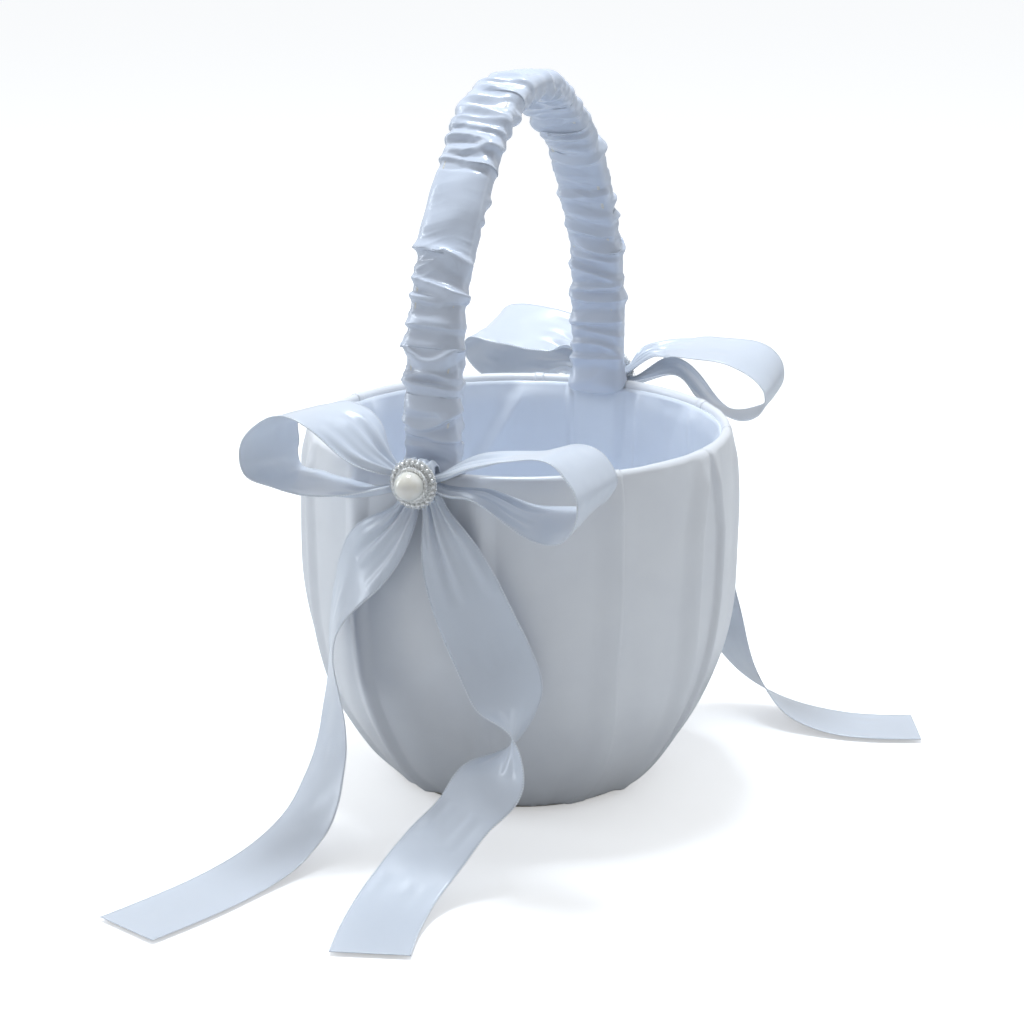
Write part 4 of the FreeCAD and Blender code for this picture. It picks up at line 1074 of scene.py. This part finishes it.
def build_knot():
    """Ribbon wrapped round the middle of the bow: a puffy band with folds along it."""
    rows, columns = 84, 48
    turn = np.linspace(0, 2 * math.pi, rows, endpoint=False)[:, None]
    u = np.linspace(-1, 1, columns)[None, :]
    crown = np.sqrt(np.maximum(1 - np.abs(u) ** 3.2, 0.0)) * 0.24 + 0.76
    half_depth = KNOT_HALF_DEPTH * crown
    half_height = KNOT_HALF_HEIGHT * crown
    y = np.sign(np.cos(turn)) * np.abs(np.cos(turn)) ** 0.72
    z = np.sign(np.sin(turn)) * np.abs(np.sin(turn)) ** 0.8
    folds = 0.42 * np.sin(u * 9.5 + 0.8 * np.sin(turn * 2 + 0.5) + 0.6) + 0.22 * np.sin(u * 17 + turn)
    pinch = 1 - 0.10 * np.abs(np.sin(turn)) ** 6
    points = np.empty((rows, columns, 3))
    points[..., 0] = u * KNOT_HALF_WIDTH * pinch + 0 * turn
    points[..., 1] = -KNOT_Y - y * (half_depth + folds * 0.5 - 0.2)
    points[..., 2] = KNOT_Z + z * (half_height + folds)
    cloth = np.stack([turn * 5.2 + 0 * u, u * RIBBON_WIDTH / 2 + 0 * turn], -1)
    knot = grid_object("front_bow_knot_satin", points, cloth, ring=True)
    return thicken(knot, KNOT_CLOTH, -1.0)


def ring_points(count, radius, forward, turn=0.0):
    """Places round the brooch, a distance in front of its plate's back."""
    angles = np.arange(count) * 2 * math.pi / count + turn
    return np.stack([radius * np.cos(angles), np.full(count, -BROOCH_Y - forward),
                     KNOT_Z + radius * np.sin(angles)], -1)


def build_pearl():
    """Slightly uneven pearl, cut flat where it sits on its plate."""
    pearl = balls("front_brooch_pearl_nacre", [(0, -BROOCH_Y - PEARL_FORWARD, KNOT_Z)], [PEARL_RADIUS],
                  segments=64, rings=40)
    points = np.empty(len(pearl.data.vertices) * 3)
    pearl.data.vertices.foreach_get("co", points)
    points = points.reshape(-1, 3) / MM
    middle = np.array([0, -BROOCH_Y - PEARL_FORWARD, KNOT_Z])
    points += unit(points - middle) * (drift(points, 7.0, 71) * 0.03)[:, None]
    back = -BROOCH_Y - PLATE_THICKNESS
    points[:, 1] = np.minimum(points[:, 1], back)
    pearl.data.vertices.foreach_set("co", (points * MM).ravel())
    return pearl


def build_beads():
    """Ring of bright beads, each a little uneven."""
    draw = np.random.default_rng(72)
    centers = ring_points(BEAD_COUNT, BEAD_RING_RADIUS, PLATE_THICKNESS + BEAD_RADIUS * 0.8)
    centers = centers + draw.uniform(-0.04, 0.04, centers.shape)
    radii = BEAD_RADIUS * draw.uniform(0.94, 1.05, BEAD_COUNT)
    return balls("front_brooch_beads_bright", centers, radii, segments=14, rings=9)


def build_lace():
    """Silver wirework: a small loop round each bead and a twisted inner rim."""
    vertices = []
    faces = []
    turns = np.arange(14) * 2 * math.pi / 14
    for center in ring_points(BEAD_COUNT, BEAD_RING_RADIUS + 0.28, PLATE_THICKNESS + 0.15):
        circle = np.stack([np.cos(turns) * LOOP_RADIUS, 0 * turns, np.sin(turns) * LOOP_RADIUS], -1)
        add_tube(vertices, faces, circle + center, np.full(len(turns), LOOP_WIRE_RADIUS))
    for strand in (0.0, math.pi):
        turns = np.linspace(0, 2 * math.pi, 421)[:-1]
        twist = turns * 30 + strand
        radius = CUP_RADIUS - 0.02 + 0.15 * np.cos(twist)
        path = np.stack([radius * np.cos(turns), -BROOCH_Y - CUP_DEPTH + 0.05 + 0.15 * np.sin(twist),
                         KNOT_Z + radius * np.sin(turns)], -1)
        add_tube(vertices, faces, path, np.full(len(path), TWIST_WIRE_RADIUS))
    return make_object("front_brooch_lace_silver", vertices, faces)


def build_grains():
    """Three rings of silver grains round the cup."""
    outer = ring_points(BEAD_COUNT, BEAD_RING_RADIUS + 0.95, PLATE_THICKNESS * 0.75, math.pi / BEAD_COUNT)
    inner = ring_points(32, CUP_RADIUS + 0.38, PLATE_THICKNESS + 0.35)
    middle = ring_points(36, CUP_RADIUS + 0.05, PLATE_THICKNESS + 1.1, 0.06)
    centers = np.vstack([outer, inner, middle])
    radii = [0.30] * len(outer) + [0.28] * len(inner) + [0.26] * len(middle)
    return balls("front_brooch_grains_silver", centers, radii, segments=8, rings=6)


def build_bow_middles():
    """Knot and brooch of the front bow, and the same pieces half a turn round for the back."""
    pieces = (
        (build_knot(), SATIN_RIBBON_PAINTED_SHADE, "satin_ribbon", "bow_knot"),
        (build_pearl(), PEARL, "pearl", "brooch_pearl"),
        (build_beads(), BEAD, "silver_beads", "brooch_beads"),
        (build_lace(), SILVER, "brooch_metal", None),
        (build_grains(), SILVER, "brooch_metal", None),
    )
    for front, material, slot, node in pieces:
        back = half_turned(front, front.name.replace("front_", "back_"))
        for piece, side in ((front, "front_"), (back, "back_")):
            finish_piece(piece, "root", material, [side + node] if node else ())


def dress_cad_nodes():
    """Materials of the CAD pieces that stay as they are."""
    materials = {
        "basket_shell": MOULDED, "base_disc": CARD, "handle_core": CORE, "handle_padding": FOAM,
        "handle_staples_front": STAPLE, "handle_staples_back": STAPLE, "front_bow_glue_pad": GLUE,
        "back_bow_glue_pad": GLUE, "front_brooch_cup": SILVER, "back_brooch_cup": SILVER,
    }
    for node, material in materials.items():
        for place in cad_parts[node].material_slots:
            place.material = material


# ---------------------------------------------------------------- camera, floor and light

CAMERA_AZIMUTH = 24.3
CAMERA_ELEVATION = 16.3
# In metres: where the camera stands, and the floor, just under the basket.
CAMERA_PLACE = (0.3922, -0.8761, 0.3748)
FLOOR_HALF = 9.0
FLOOR_LEVEL = -0.0004


def add_camera():
    """Camera that sees the basket as the photo does."""
    camera = bpy.data.cameras.new("camera")
    camera.lens = 100.5
    camera.sensor_width = 36.0
    camera.clip_end = 50.0
    obj = new_object("camera", camera)
    obj.location = CAMERA_PLACE
    obj.rotation_euler = (math.radians(90 - CAMERA_ELEVATION), 0, math.radians(CAMERA_AZIMUTH))
    bpy.context.scene.camera = obj


def show_camera(tree, others, seen, output):
    """Send one shader to the rays that come from the camera and another to all others."""
    path = add(tree, "ShaderNodeLightPath")
    mix = add(tree, "ShaderNodeMixShader")
    tree.links.new(path.outputs["Is Camera Ray"], mix.inputs["Fac"])
    tree.links.new(others.outputs[0], mix.inputs[1])
    tree.links.new(seen.outputs[0], mix.inputs[2])
    tree.links.new(mix.outputs["Shader"], tree.nodes[output].inputs["Surface"])


def add_floor():
    """Pale floor that stays near white."""
    corners = ((-1, -1), (1, -1), (1, 1), (-1, 1))
    mesh = bpy.data.meshes.new("floor")
    mesh.from_pydata([(x * FLOOR_HALF, y * FLOOR_HALF, FLOOR_LEVEL) for x, y in corners], [], [(0, 1, 2, 3)])
    floor = new_object("floor", mesh)
    material, tree, shader = node_material("floor_paper")
    set_inputs(shader, {"Base Color": (0.92, 0.92, 0.92, 1), "Roughness": 0.9, "Specular IOR Level": 0.0,
                        "Emission Color": (1, 1, 1, 1), "Emission Strength": 0.42})
    soft = add(tree, "ShaderNodeBsdfDiffuse", {"Color": (0.62, 0.63, 0.64, 1)})
    show_camera(tree, soft, shader, "Material Output")
    mesh.materials.append(material)


def add_area(name, place, target, size, power, colour):
    """Rectangular lamp that faces a target."""
    light = bpy.data.lights.new(name, "AREA")
    light.shape = "RECTANGLE"
    light.size, light.size_y = size
    light.energy = power
    light.color = colour
    obj = new_object(name, light)
    obj.location = place
    obj.rotation_euler = (Vector(target) - Vector(place)).to_track_quat("-Z", "Y").to_euler()


def add_sky():
    """Soft light from all round, dimmer from the front, with plain white behind the object."""
    world = bpy.data.worlds.new("studio")
    bpy.context.scene.world = world
    world.use_nodes = True
    tree = world.node_tree
    back = tree.nodes["Background"]
    place = add(tree, "ShaderNodeTexCoord")
    toward = add(tree, "ShaderNodeVectorMath", operation="DOT_PRODUCT")
    toward.inputs[1].default_value = (0.395, -0.875, 0.28)
    tree.links.new(place.outputs["Generated"], toward.inputs[0])
    level = add(tree, "ShaderNodeMapRange", interpolation_type="SMOOTHSTEP")
    set_inputs(level, {"From Min": -0.35, "From Max": 0.9, "To Min": 0.75, "To Max": 0.40})
    tree.links.new(toward.outputs["Value"], level.inputs["Value"])
    back.inputs["Color"].default_value = (0.95, 0.975, 1.0, 1)
    tree.links.new(level.outputs["Result"], back.inputs["Strength"])
    white = add(tree, "ShaderNodeBackground", {"Color": (1, 1, 1, 1)})
    show_camera(tree, back, white, "World Output")


def add_lights():
    """Bright lamp above and long narrow ones at both sides, and plain colours in the picture."""
    middle = (0, 0, 0.12)
    cool = (0.84, 0.92, 1.0)
    add_area("top_light", (-0.10, 0.10, 1.1), middle, size=(0.22, 0.22), power=7.6, colour=cool)
    add_area("right_light", (0.95, 0.45, 0.45), middle, size=(0.12, 0.8), power=0.8, colour=cool)
    add_area("left_light", (-0.95, -0.25, 0.45), middle, size=(0.12, 0.8), power=2.3, colour=cool)
    bpy.context.scene.view_settings.view_transform = "Standard"


add_camera()
add_floor()
add_sky()
add_lights()
dress_cad_nodes()
build_cover()
build_lining()
build_board()
build_sleeve()
build_ribbons()
build_bow_middles()
